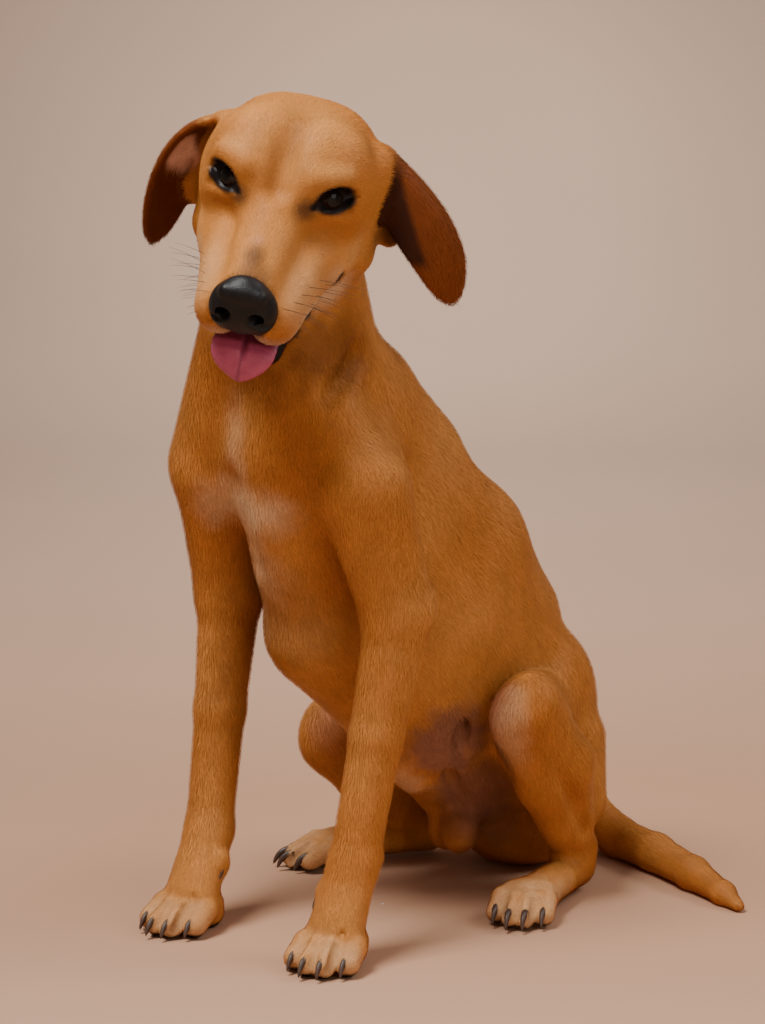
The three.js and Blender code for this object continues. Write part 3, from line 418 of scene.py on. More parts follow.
def hindleg(side, hip, knee, hock, foot, toes_out):
    calf = offset(mid(knee, hock, 0.42), side * 3, 6, 0)
    return [
        limb(hip, knee, (34, 56), (23, 30), 22, lie=(0, -0.1, -1)),
        lump(offset(hip, side * -4, -1, 26), (45, 52, 62), 14, lie=DOWN),
        limb(offset(hip, side * 22, 2, -4), offset(hock, 0, 10, 34), (30, 40), (17, 22), 10, lie=DOWN),
        limb(knee, calf, (23, 30), (26, 34), 10),
        limb(calf, hock, (26, 34), (15, 17), 8),
        limb(offset(hock, 0, 10, 2), offset(hock, 0, 0, -8), 11, 14, 10, lie=(0, -0.6, -1)),
        limb(offset(hock, 0, 0, -14), offset(foot, 0, 8, 16), (15, 14), (18, 12), 10),
        *toes(paw_place(foot, toes_out, side), HIND_PAW),
    ]


def tail():
    bones = [
        ((0, 42, 62), 22), ((14, 62, 32), 19), ((48, 64, 15), 16), ((96, 50, 14), 15),
        ((150, 28, 12), 13), ((192, 11, 8), 9), ((213, 2, 4.5), 5),
    ]
    return [limb(a, b, ra, rb, 6) for (a, ra), (b, rb) in zip(bones, bones[1:])]


def groin():
    """The sheath and the scrotum."""
    return [
        limb((4, -152, 112), (8, -126, 84), 9, 8, 10, lie=(0, 0.4, -1)),
        lump((24, -92, 44), (15, 15, 17), 8, lie=DOWN),
        lump((8, -88, 42), (14, 15, 16), 4, lie=DOWN),
    ]


# ---- ears -----------------------------------------------------------------------------------------

LEFT_EAR = dict(
    side=1, root=(56, 48, 0), bend=(109, 43, -25), tip=(123, 16, -78), root_width=22, width=24.5,
    facing=(0.7, -0.6, 0.3), lean=-4,
)
RIGHT_EAR = dict(
    side=-1, root=(-57, 48, 2), bend=(-91, 53, -4), tip=(-91, 13, -81), root_width=22, width=25.5,
    facing=(-0.7, 0.7, 0.1), lean=3,
)


def ear_sheet(side, root, bend, tip, root_width, width, facing, lean, rows=30, columns=18):
    """A bent sheet from root to tip: rows of points from its front edge to its rear edge."""
    root, bend, tip, facing = (np.array(v, float) for v in (root, bend, tip, facing))
    rows_out = []
    for i in range(rows + 1):
        t = i / rows
        first, second = root + (bend - root) * t, bend + (tip - bend) * t
        centre = first + (second - first) * t
        down = unit((bend - root) + ((tip - bend) - (bend - root)) * t)
        out = unit(facing - down * (facing @ down))
        back = np.cross(down, out) * -side
        centre = centre + back * lean * math.sin(math.pi * t)
        half = root_width + (width - root_width) * math.sin(min(1, t * 1.6) * math.pi / 2)
        half *= math.sqrt(1 - t**3.2 + 0.004)
        v = np.linspace(-1, 1, columns + 1)
        straight = min(1, t * 1.25)
        curl = np.where(v > 0, 1.9 + (0.35 - 1.9) * straight, 0.9 + (0.5 - 0.9) * straight)
        a = curl * np.abs(v)
        across = np.sin(a) / curl * half * np.sign(v)
        inward = (1 - np.cos(a)) / curl * half
        rows_out.append(HEAD.at(centre + back * across[:, None] - out * inward[:, None]))
    return np.array(rows_out)


class Ear:
    """The distance to an ear's sheet, and how far down and across it the nearest place lies."""

    def __init__(self, half_thick, **settings):
        self.half_thick = half_thick
        self.grid = ear_sheet(**settings)
        rows, columns = self.grid.shape[:2]
        self.columns = columns - 1
        self.rows = rows - 1
        quads = [
            (i * columns + j, (i + 1) * columns + j, (i + 1) * columns + j + 1, i * columns + j + 1)
            for i in range(rows - 1)
            for j in range(columns - 1)
        ]
        flat = self.grid.reshape(-1, 3)
        self.tree = BVHTree.FromPolygons([Vector(p) for p in flat], quads)
        self.low, self.high = flat.min(0) - 16, flat.max(0) + 16

    def inside_box(self, points):
        return np.flatnonzero(((points > self.low) & (points < self.high)).all(1))

    def distance(self, points):
        out = np.full(len(points), 1e3, np.float32)
        found = self.tree.find_nearest
        for i in self.inside_box(points):
            out[i] = found(points[i])[3]
        return out - self.half_thick

    def place(self, points):
        """For each point near the ear: its index, how far down (0 to 1) and which side of the sheet."""
        near = self.inside_box(points)
        down, side = np.zeros(len(near)), np.zeros(len(near))
        for k, i in enumerate(near):
            where, normal, quad, away = self.tree.find_nearest(points[i])
            down[k] = (quad // self.columns) / self.rows
            side[k] = math.copysign(away, (Vector(points[i]) - where).dot(normal))
        return near, down, side


# ---- the whole field ------------------------------------------------------------------------------

EAR_HALF_THICK, EAR_COAT = 2.9, 0.6
BODY_COAT, LEAST_COAT = 1.8, 0.8  # how far the skin lies under the coat's tips on the body, and on the face
NECK_BLEND, HEAD_BLEND, JAW_BLEND, EAR_BLEND = 34, 9, 5, 5
FOLD_REACH, LIP_REACH = 50, 15  # beyond these a fold or the lips' cleft isn't felt


def build_groups():
    groups = {
        "trunk": trunk(),
        "neck": neck(),
        "head": head(),
        "jaw": lower_jaw(),
        "left_fore": foreleg(**LEFT_FORE),
        "right_fore": foreleg(**RIGHT_FORE),
        "left_hind": hindleg(**LEFT_HIND),
        "right_hind": hindleg(**RIGHT_HIND),
        "tail": tail(),
        "groin": groin(),
    }
    return {name: group_of(forms) for name, forms in groups.items()}


GROUPS = build_groups()
EARS = [Ear(EAR_HALF_THICK, **LEFT_EAR), Ear(EAR_HALF_THICK, **RIGHT_EAR)]
LIP_LINE = group_of(lip_line())
LIP_BANDS = group_of(lip_bands())
CREASES = group_of(
    [
        crease
        for legs, size in (((LEFT_FORE, RIGHT_FORE), FORE_PAW), ((LEFT_HIND, RIGHT_HIND), HIND_PAW))
        for leg in legs
        for crease in creases(paw_place(leg["foot"], leg["toes_out"], leg["side"]), size)
    ]
)
BLENDS = {"left_fore": 9, "right_fore": 9, "left_hind": 8, "right_hind": 8, "tail": 10, "groin": 14}
FOLDS = [
    limb((-26, -288, 370), (-44, -286, 326), 6, 5, 14),  # between the neck and the right shoulder
    limb((44, -220, 412), (57, -262, 386), 5, 4, 10),  # skin fold at the side of the neck
    limb((120, -84, 98), (108, -44, 50), 3, 4, 7),  # before the left hamstrings
    limb((-24, -274, 322), (-16, -262, 262), 3, 4, 14),  # middle of the breast
    limb((48, -120, 150), (56, -118, 92), 4, 5, 8),  # folds of the groin
    limb((30, -124, 120), (30, -96, 66), 3, 4, 8),
]


def smooth(low, high, value):
    t = np.clip((value - low) / (high - low), 0, 1)
    return t * t * (3 - 2 * t)


def coat_depth(points):
    """How far the skin lies under the coat's tips: least on the face, the ears and the feet."""
    local = HEAD.local(points)
    reach = np.linalg.norm(local - (0, 10, -30), axis=1)
    on_head = 1 - smooth(60, 120, reach)
    on_feet = 1 - smooth(30, 110, points[:, 2])
    return BODY_COAT - (BODY_COAT - LEAST_COAT) * np.maximum(on_head, on_feet * 0.9)


def flesh(points):
    """The skin's field in millimetres: less than zero inside."""
    points = np.ascontiguousarray(points, np.float32)
    d = {name: group_distance(group, points) for name, group in GROUPS.items()}
    total = melt(d["trunk"], d["neck"], NECK_BLEND)
    total = melt(total, melt(d["head"], d["jaw"], JAW_BLEND), HEAD_BLEND)
    for name, blend in BLENDS.items():
        total = melt(total, d[name], blend)
    for o in FOLDS:
        near = np.flatnonzero(np.abs(points - o.p - o.span / 2).max(1) < FOLD_REACH)
        total[near] = carve(total[near], form_distance(o, points[near]), o.blend)
    near_lips = np.flatnonzero(np.abs(d["head"]) < LIP_REACH)
    if len(near_lips):
        total[near_lips] = carve(total[near_lips], group_distance(LIP_LINE, points[near_lips]), 1.0)
    total += coat_depth(points).astype(np.float32)
    for ear in EARS:
        total = melt(total, ear.distance(points) + EAR_COAT, EAR_BLEND)
    return total


def in_chunks(field, points, size=150_000):
    return np.concatenate([field(points[i : i + size]) for i in range(0, len(points), size)])


def sample_near(field, axes, reach, block=4):
    """The field on a grid of axes: worked out at every point near the surface, and by blocks elsewhere."""
    shape = tuple(len(a) for a in axes)
    centres = [a[np.minimum(np.arange(0, len(a), block) + block // 2, len(a) - 1)] for a in axes]
    coarse_points = np.stack(np.meshgrid(*centres, indexing="ij"), -1).reshape(-1, 3)
    coarse = in_chunks(field, coarse_points).reshape([len(c) for c in centres])

    def spread(blocks):
        for axis in range(3):
            blocks = np.repeat(blocks, block, axis)
        return blocks[: shape[0], : shape[1], : shape[2]].copy()

    values, near = spread(coarse), spread(np.abs(coarse) < reach)
    index = np.argwhere(near)
    points = np.stack([axes[k][index[:, k]] for k in range(3)], -1)
    values[near] = in_chunks(field, points)
    return values.astype(np.float32)


def surface_of(field, axes, reach):
    """The closed surface where the field is zero: vertices in millimetres, and quads."""
    grid = openvdb.FloatGrid(reach)
    grid.copyFromArray(sample_near(field, axes, reach))
    points, quads = grid.convertToQuads(isovalue=0.0)
    points = np.stack([np.interp(points[:, k], np.arange(len(axes[k])), axes[k]) for k in range(3)], -1)
    a, b, c, d = (points[quads[:, k]] for k in range(4))
    if np.einsum("ij,ij->i", a, np.cross(b, c) + np.cross(c, d)).sum() < 0:
        quads = quads[:, ::-1]
    return points, quads


def graded(spans):
    """Steps along an axis: spans are (from, step) and end with (to, None)."""
    out = []
    for (low, step), (high, _) in zip(spans, spans[1:]):
        count = max(1, round((high - low) / step))
        out += list(low + (high - low) * np.arange(count) / count)
    return np.array(out + [spans[-1][0]])


# ---- the lie of the coat --------------------------------------------------------------------------


def along_ears(points):
    """Near each ear: the indices, the direction to its tip, how far down it, and the side (1 is outside)."""
    found = []
    for ear, s in zip(EARS, (1, -1)):
        near, down, side = ear.place(points)
        close = np.abs(side) < 7
        row = np.clip((down * ear.rows).astype(int), 0, ear.rows - 1)
        middle = ear.grid[:, ear.columns // 2]
        found.append((near[close], (middle[row + 1] - middle[row])[close], down[close], (side * s)[close]))
    return found


LIE_REACH = 6.0  # how far off a form's direction of hair is felt


def head_lie(points):
    """Back from the nose, down over the cheeks and the throat."""
    x, y, z = HEAD.local(points).T
    cheek = smooth(18, 45, np.abs(x)) * smooth(-70, 0, y)
    way = np.stack([0.012 * x, np.ones_like(x), -0.75 * cheek - 0.25 * smooth(-20, -60, z)], -1)
    away = np.minimum(group_distance(GROUPS["head"], points), group_distance(GROUPS["jaw"], points))
    return np.exp(-np.maximum(away, 0) / LIE_REACH)[:, None] * HEAD.turn(way) * 6


def lie_of(points, normals):
    """The way the hair points at each vertex, along the surface."""
    points = np.ascontiguousarray(points, np.float32)
    total = np.zeros((len(points), 3))
    for name, group in GROUPS.items():
        if name in ("head", "jaw"):
            continue
        away = np.linalg.norm(points - group.centre, axis=1) - group.radius
        near = np.flatnonzero(away < 15)
        for o in group.forms:
            if not o.takes and np.any(o.lie):
                felt = np.exp(-np.maximum(form_distance(o, points[near]), 0) / LIE_REACH)
                total[near] += felt[:, None] * o.lie
    total += head_lie(points)
    for near, way, down, _ in along_ears(points):
        total[near] += units(way) * (smooth(0.05, 0.3, down) * 40)[:, None]
    return units(total - normals * row_dot(total, normals))


# ---- colours --------------------------------------------------------------------------------------


def linear(r, g, b):
    """A colour given as on a screen, 0 to 255, as the renderer's linear light."""
    c = np.array([r, g, b]) / 255
    return np.where(c < 0.04045, c / 12.92, ((c + 0.055) / 1.055) ** 2.4)


def ripple(points, size):
    """Smooth noise about zero, for the ragged edges of the markings."""
    p = points / size
    out = 0
    for k, (a, b, c) in enumerate(((1.0, 0.7, 0.3), (-0.5, 1.1, 0.8), (0.9, -0.4, 1.2), (0.3, 1.3, -1.0))):
        out = out + np.sin(p[:, 0] * a + p[:, 1] * b + p[:, 2] * c + 1.7 * k + np.sin(p[:, k % 3] * 0.6))
    return out / 4


def mirrored(place, centre, *rest):
    """The same marking on both sides."""
    x, y, z = centre
    return [(place, (x, y, z), *rest), (place, (-x, y, z), *rest)]


# Each marking: its frame, centre, half sizes, softness, colour (in CoatColours) and strength.
MARKS = [
    (WORLD, (20, -150, 190), (90, 120, 70), 0.6, "gold", 0.35),  # underside
    (WORLD, (0, -245, 225), (40, 40, 40), 0.6, "dun", 0.45),  # keel of the chest
    (WORLD, (44, -250, 414), (44, 44, 26), 0.7, "shaded", 0.6),  # throat under the jaw, this line and the next: painted shade, on a coat that is redder there
    (WORLD, (10, -286, 396), (40, 30, 22), 0.8, "shaded", 0.5),
    (WORLD, (-38, -268, 302), (26, 26, 18), 0.9, "cream", 0.55),  # breast patch
    (WORLD, (4, -274, 302), (28, 24, 16), 0.9, "cream", 0.55),
    (WORLD, (-20, -272, 300), (22, 26, 30), 0.9, "cream", 0.6),
    (WORLD, (-14, -262, 262), (24, 24, 34), 0.9, "cream", 0.36),  # down the breast
    (WORLD, (-26, -262, 236), (9, 24, 44), 0.9, "cream", 0.4),
    (WORLD, (-18, -280, 350), (14, 22, 34), 0.9, "cream", 0.28),  # up the throat
    (WORLD, (-48, -250, 190), (17, 34, 90), 0.8, "shaded", 0.45),  # inside of the right foreleg: painted shade
    (WORLD, (70, -160, 165), (40, 44, 22), 0.8, "pale", 0.35),  # fold before the thigh
    (WORLD, (52, -132, 118), (34, 34, 34), 0.4, "grey_skin", 0.85),  # groin
    (WORLD, (40, -90, 72), (34, 34, 40), 0.45, "grey_skin", 0.8),
    (WORLD, (34, -66, 40), (34, 30, 30), 0.5, "grey_skin", 0.6),
    (WORLD, (74, -112, 112), (22, 22, 34), 0.5, "grey_skin", 0.6),  # inside of the left thigh
    (WORLD, (84, -124, 150), (18, 20, 24), 0.6, "pink_skin", 0.55),  # inside of the left knee
    (WORLD, (-74, -126, 118), (20, 22, 30), 0.6, "pink_skin", 0.35),  # inside of the right knee
    (WORLD, (100, -128, 120), (16, 20, 60), 0.7, "cream", 0.4),  # front of the left shank
    (WORLD, (8, -132, 90), (15, 24, 26), 0.8, "cream", 0.4),  # sheath
    (WORLD, (12, -140, 82), (6, 9, 8), 0.9, "smudge_and_shade", 0.3),
    (WORLD, (16, -92, 42), (30, 22, 24), 0.5, "deep", 0.6),  # scrotum
    (WORLD, (118, -120, 4), (40, 46, 26), 0.5, "cream", 0.5),  # left hind toes
    (WORLD, (-104, -120, 4), (40, 46, 26), 0.5, "cream", 0.4),  # right hind toes
    (WORLD, (106, -318, 4), (44, 26, 22), 0.5, "cream", 0.35),  # left fore toes
    (WORLD, (-44, -322, 4), (44, 26, 22), 0.5, "cream", 0.35),  # right fore toes
    *mirrored(HEAD, (50, -30, -46), (7, 12, 12), 0.9, "cream", 0.4),  # lips beside the mouth's line
    *mirrored(HEAD, (38, -46, -66), (10, 20, 12), 0.9, "cream", 0.4),
    (HEAD, (0, 6, 34), (44, 44, 26), 0.9, "pale", 0.35),  # forehead: paler, partly painted light falling from above
    *mirrored(HEAD, (36, -66, -36), (16, 28, 18), 0.8, "cream", 0.22),  # sides of the muzzle
    (HEAD, (0, -92, -60), (30, 20, 11), 0.5, "lip_grey", 0.7),  # upper lip
    *mirrored(HEAD, (38, -62, -58), (14, 34, 12), 0.6, "cream", 0.55),  # edge of the lips
    *mirrored(HEAD, (48, -26, -66), (16, 34, 12), 0.5, "cream", 0.6),  # below the mouth's corner
    *mirrored(HEAD, (55, -6, -40), (10, 16, 14), 0.7, "pale", 0.5),  # behind it
    (HEAD, (-33, 3, 26), (13, 10, 6), 0.9, "pale", 0.4),  # over the eyes
    (HEAD, (37, -2, 22), (13, 10, 6), 0.9, "pale", 0.4),
    (HEAD, (0, 16, 36), (13, 40, 22), 0.9, "deep", 0.5),  # middle of the forehead
    (HEAD, (0, -69, -7), (8, 12, 8), 0.8, "smudge_and_shade", 0.7),  # smudge above the nose
    (HEAD, (4, -80, -12), (14, 8, 7), 0.7, "smudge_and_shade", 0.5),
    (HEAD, (-1, -56, -4), (5, 5, 6), 0.9, "bridge_pink", 0.3),
    (HEAD, (21, -22, 1), (9, 9, 8), 0.8, "smudge_and_shade", 0.75),  # inner corners of the eyes
    (HEAD, (-25, -22, 1), (8, 9, 9), 0.8, "smudge_and_shade", 0.75),
    (HEAD, (76, 28, -46), (14, 20, 15), 0.5, "ear_fold_shade", 0.85),  # lower lobe of the left ear: painted shade in its fold
]


def eye_rims(points):
    """1 on the black edges of the lids, falling to 0 a few millimetres out."""
    out = np.zeros(len(points))
    for s in (1, -1):
        p = eye_place(s).local(points)
        reach = np.sqrt((p[:, 0] / 14.0) ** 2 + ((p[:, 2] + 0.2) / 9.2) ** 2)
        front = (p[:, 1] < 2) & (np.linalg.norm(p, axis=1) < 24)
        out = np.maximum(out, np.where(front, 1 - smooth(0.98, 1.3, reach), 0))
        corner = np.linalg.norm((p - (-s * 14.5, -9, -2.5)) / (5.5, 6, 3.8), axis=1)
        out = np.maximum(out, 1 - smooth(0.6, 1.15, corner))
    return out


BODY_RAGGED, HEAD_RAGGED = 0.2, 0.1  # how far a marking's edge strays, in parts of its size
PINK_HOLLOW = ((-79, 38, -20), (14, 16, 17))  # inside the right ear: centre and half sizes
NOSE_EDGE = ((0, -92, -33), (22.5, 16, 25))
BARE_GROIN = ((30, -128, 104), (44, 30, 38))


def reach_of(points, ball):
    """How far out of a ball of three half sizes: 1 on its surface."""
    centre, sizes = ball
    return np.linalg.norm((points - centre) / sizes, axis=1)


def toward(colour, shade, amount, at=slice(None)):
    """Moves the colours of some vertices toward a shade, by an amount for each."""
    colour[at] += (shade - colour[at]) * amount[:, None]


def paint_body(points, normals, shades):
    x, y, z = points.T
    golden = (0.35 + 0.35 * ripple(points, 21.0))[:, None].clip(0, 1)
    colour = shades["tan"] + (shades["gold"] - shades["tan"]) * golden
    spine = smooth(0.45, 1.0, normals[:, 1] * 0.75 + normals[:, 2] * 0.65) * (z > 60)
    toward(colour, shades["deep"], 0.45 * spine)
    low = 1 - smooth(20, 90, z)
    toward(colour, shades["gold"] * 1.05, 0.55 * low * (y < -60))
    off_tail = group_distance(GROUPS["tail"], points.astype(np.float32))
    on_tail = (1 - smooth(0, 8, off_tail)) * smooth(30, 60, x)
    toward(colour, shades["deep"], on_tail * smooth(-0.3, 0.7, normals[:, 2]) * 0.35)
    return colour


def paint_ears(points, shades, colour, fur):
    """Red-brown and darker within, with near-black painted shade in the left one's fold. Returns 1 where a
    side faces in.
    """
    facing_in = np.ones(len(points))
    for near, _, down, side in along_ears(points):
        facing_in[near] = smooth(-0.5, 1.0, -side)
        strength = smooth(-0.04, 0.1, down)
        toward(colour, shades["ear_red"], strength * 0.95, near)
        inner = smooth(-0.5, 1.5, -side) * strength
        toward(colour, shades["ear_red"] * 0.45, inner * 0.6, near)
        fur[near] *= 1 - 0.3 * inner
        x, _, z = HEAD.local(points[near]).T
        # painted shade in the left ear's fold
        fold_shade = smooth(1, -5, x - 70 + 0.66 * z) * smooth(-55, -49, z) * (x > 60) * strength
        toward(colour, shades["ear_fold_shade"], 0.9 * fold_shade, near)
    return facing_in


def paint_marks(points, edge, shades, colour):
    for place, centre, sizes, soft, shade, strength in MARKS:
        ragged = BODY_RAGGED if place is WORLD else HEAD_RAGGED
        reach = reach_of(place.local(points), (centre, sizes)) + ragged * edge
        toward(colour, shades[shade], (1 - smooth(1 - soft, 1 + soft * 0.6, reach)) * strength)


def paint_bare(points, normals, edge, facing_in, shades, colour, fur):
    """The ear's hollow, the lids' rims, the lips, round the nose, painted shade between the toes, and the
    soles.
    """
    local = HEAD.local(points)
    single = points.astype(np.float32)
    black = shades["black"]
    pink = (1 - smooth(0.6, 1.1, reach_of(local, PINK_HOLLOW) + 0.2 * edge)) * facing_in
    toward(colour, shades["ear_pink"], 0.9 * pink)
    rims = eye_rims(points)
    toward(colour, black, rims)
    lips = 1 - smooth(0.9, 2.5, group_distance(LIP_LINE, single))
    lips = np.maximum(lips, 1 - smooth(0.0, 1.6, group_distance(LIP_BANDS, single)))
    mouth = 1 - smooth(25, 29, np.abs(local[:, 0] - 3))
    inside = smooth(-64, -67, local[:, 2]) * smooth(-90, -86, local[:, 2]) * mouth * (local[:, 1] < -30)
    dark = np.maximum(lips, inside * 0.95)
    toward(colour, black, dark)
    leather = 1 - smooth(0.92, 1.08, reach_of(local, NOSE_EDGE))
    toward(colour, black, leather)
    # painted shade in the creases between the toes
    between = 1 - smooth(-0.6, 1.4, group_distance(CREASES, single))
    toward(colour, shades["smudge_and_shade"] * 0.5, 0.75 * between)
    soles = (1 - smooth(2.5, 6, points[:, 2])) * (normals[:, 2] < -0.2) * (points[:, 1] < -60)
    toward(colour, black * 1.5, soles)
    fur *= 1 - 0.85 * pink
    fur *= (1 - rims) * (1 - dark) * (1 - leather) * (points[:, 2] > 1.2)
    fur *= 0.15 + 0.85 * smooth(0.6, 1.2, reach_of(points, BARE_GROIN))
    return np.maximum(rims, dark)


def paint(points, normals, shades):
    """For each vertex: its colour, how much hair grows there (0 to 1), and how wet it is."""
    edge = ripple(points, 4.0)
    fur = np.ones(len(points))
    colour = paint_body(points, normals, shades)
    facing_in = paint_ears(points, shades, colour, fur)
    paint_marks(points, edge, shades, colour)
    wet = paint_bare(points, normals, edge, facing_in, shades, colour, fur)
    return np.clip(colour, 0.003, 1), fur, wet


BODY_HAIR, SKULL_HAIR, FACE_HAIR, FOOT_HAIR = 6.6, 4.4, 2.8, 3.4  # lengths of tufts
COVER = 0.24  # the part of a tuft that the next leaves bare


def hair_sizes(points):
    """Each vertex's tuft length, tuft width and how thickly tufts grow, in millimetres and per mm²."""
    local = HEAD.local(points)
    _, y, z = points.T
    face = 1 - smooth(55, 105, np.linalg.norm(local - (0, -25, -30), axis=1))
    skull = 1 - smooth(70, 125, np.linalg.norm(local - (0, 20, -20), axis=1))
    feet = (1 - smooth(25, 75, z)) * (y < 30)
    length = BODY_HAIR - 1.4 * (1 - smooth(60, 200, z)) * (y < 20)
    length += 2.0 * smooth(0.2, 1, (1 - smooth(0, 60, np.abs(z - 120))) * smooth(-60, 20, y))
    for here, hair in ((skull, SKULL_HAIR), (face, FACE_HAIR), (feet, FOOT_HAIR)):
        length += (hair - length) * here
    width = 0.15 + 0.032 * length
    return length, width, 1.0 / (COVER * length * width)


# ---- meshes ---------------------------------------------------------------------------------------


def vertex_normals(points, quads):
    a, b, c, d = (points[quads[:, k]] for k in range(4))
    n = np.cross(c - a, d - b)
    total = np.zeros_like(points)
    for k in range(4):
        for axis in range(3):
            total[:, axis] += np.bincount(quads[:, k], n[:, axis], len(points))
    return units(total, 1e-9)


def add_mesh(name, points, faces, look=None, flat=False):
    """A new object in metres. Faces is one array of corners, or several arrays of different lengths."""
    faces = [faces] if isinstance(faces, np.ndarray) else faces
    mesh = bpy.data.meshes.new(name)
    mesh.vertices.add(len(points))
    mesh.vertices.foreach_set("co", (np.asarray(points, np.float32) * MM).ravel())
    corners = np.concatenate([f.ravel() for f in faces]).astype(np.int32)
    sizes = np.concatenate([np.full(len(f), f.shape[1]) for f in faces])
    mesh.loops.add(len(corners))
    mesh.loops.foreach_set("vertex_index", corners)
    mesh.polygons.add(len(sizes))
    mesh.polygons.foreach_set("loop_start", np.concatenate([[0], np.cumsum(sizes)[:-1]]).astype(np.int32))
    mesh.update(calc_edges=True)
    mesh.polygons.foreach_set("use_smooth", np.full(len(sizes), not flat))
    piece = bpy.data.objects.new(name, mesh)
    bpy.context.scene.collection.objects.link(piece)
    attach(piece, "root")
    if look:
        mesh.materials.append(look)
    return piece


def note(piece, name, values):
    """A number or a colour at each vertex, for the materials."""
    values = np.asarray(values, np.float32)
    if values.ndim == 1:
        layer = piece.data.attributes.new(name, "FLOAT", "POINT")
        layer.data.foreach_set("value", values)
    else:
        layer = piece.data.attributes.new(name, "FLOAT_COLOR", "POINT")
        layer.data.foreach_set("color", np.column_stack([values, np.ones(len(values))]).ravel())


# ---- materials ------------------------------------------------------------------------------------


class Look:
    """A material and short ways to add nodes to it."""

    def __init__(self, name, **sockets):
        self.material = bpy.data.materials.new(name)
        self.material.use_nodes = True
        self.tree = self.material.node_tree
        self.shader = self.tree.nodes["Principled BSDF"]
        for socket, value in sockets.items():
            self.shader.inputs[socket.replace("_", " ")].default_value = value

    def node(self, kind, settings=(), **inputs):
        made = self.tree.nodes.new("ShaderNode" + kind)
        for key, value in dict(settings).items():
            setattr(made, key, value)
        for key, value in inputs.items():
            numbered = key[0] == "i" and key[1:].isdigit()
            self.put(value, made.inputs[int(key[1:]) if numbered else key])
        return made

    def put(self, value, socket):
        if hasattr(value, "is_output"):
            self.tree.links.new(value, socket)
        else:
            socket.default_value = value

    def attribute(self, name, colour=False):
        made = self.node("Attribute", {"attribute_name": name})
        return made.outputs["Color" if colour else "Fac"]

    def noise(self, scale, detail=3.0, place=None):
        place = place or self.node("TexCoord").outputs["Object"]
        return self.node("TexNoise", Vector=place, Scale=scale, Detail=detail).outputs["Fac"]

    def fit(self, value, low, high, to_low, to_high):
        made = self.node("MapRange", i0=value, i1=low, i2=high, i3=to_low, i4=to_high)
        return made.outputs["Result"]

    def times(self, colour, amount):
        """A colour made darker or lighter by a number."""
        made = self.node("VectorMath", {"operation": "SCALE"}, i0=colour, Scale=amount)
        return made.outputs["Vector"]

    def blend(self, amount, a, b):
        made = self.node("Mix", {"data_type": "RGBA"})
        for value, k in ((amount, 0), (a, 6), (b, 7)):
            self.put(value, made.inputs[k])
        return made.outputs[2]

    def math(self, operation, a, b):
        return self.node("Math", {"operation": operation}, i0=a, i1=b).outputs[0]

    def bump(self, height, strength, distance):
        made = self.node("Bump", Height=height, Strength=strength, Distance=distance)
        self.tree.links.new(made.outputs["Normal"], self.shader.inputs["Normal"])

    def set(self, socket, value):
        self.put(value, self.shader.inputs[socket])


def skin_look():
    look = Look("short_fur_skin", Specular_IOR_Level=0.15)
    tone = look.attribute("tone", colour=True)
    patch = look.fit(look.noise(70.0, 4.0), 0.3, 0.7, 0.84, 1.1)
    fine = look.fit(look.noise(900.0, 2.0), 0.3, 0.7, 0.8, 1.1)
    shade = look.math("MULTIPLY", patch, fine)
    look.set("Base Color", look.times(tone, shade))
    look.set("Roughness", look.fit(look.attribute("wet"), 0.0, 1.0, 0.72, 0.3))
    look.bump(look.noise(1100.0, 3.0), 0.5, 0.0004)
    return look.material


def coat_look():
    look = Look("short_glossy_coat", Specular_IOR_Level=0.18)
    tone = look.attribute("tone", colour=True)
    # darker at a tuft's root than at its tip: painted shade deep in the coat
    along = look.fit(look.attribute("tip"), 0.0, 1.0, 0.86, 1.06)
    patch = look.fit(look.noise(45.0, 3.0), 0.3, 0.7, 0.88, 1.08)
    shade = look.math("MULTIPLY", along, look.math("MULTIPLY", patch, look.attribute("strand")))
    look.set("Base Color", look.times(tone, shade))
    look.set("Roughness", look.fit(look.noise(300.0, 1.0), 0.3, 0.7, 0.46, 0.6))
    return look.material


def nose_look(colours):
    look = Look("nose_leather", Specular_IOR_Level=0.28)
    place = look.node("TexCoord").outputs["Object"]
    cells = look.node("TexVoronoi", Vector=place, Scale=1150.0).outputs["Distance"]
    worn = look.noise(160.0, 3.0, place)
    rubbed = look.fit(worn, 0.35, 0.75, 0.0, 1.0)
    look.set("Base Color", look.blend(rubbed, (*colours.nose, 1), (*colours.nose_worn, 1)))
    look.set("Roughness", look.fit(worn, 0.3, 0.7, 0.40, 0.52))
    look.bump(look.fit(cells, 0.0, 0.7, 1.0, 0.0), 0.25, 0.0004)
    return look.material


def tongue_look(colours):
    look = Look("wet_tongue", Specular_IOR_Level=0.35)
    place = look.node("TexCoord").outputs["Object"]
    mottle = look.fit(look.noise(120.0, 4.0, place), 0.3, 0.7, 0.0, 1.0)
    pink = look.blend(mottle, (*colours.tongue, 1), (*colours.tongue_light, 1))
    # the tongue's painted shade, in its groove and at its back where the mouth shades it
    look.set("Base Color", look.blend(look.attribute("deep"), pink, (*colours.tongue_shade, 1)))
    look.set("Roughness", look.fit(look.noise(500.0, 2.0, place), 0.3, 0.7, 0.3, 0.5))
    look.bump(look.node("TexVoronoi", Vector=place, Scale=1500.0).outputs["Distance"], 0.35, 0.0004)
    return look.material


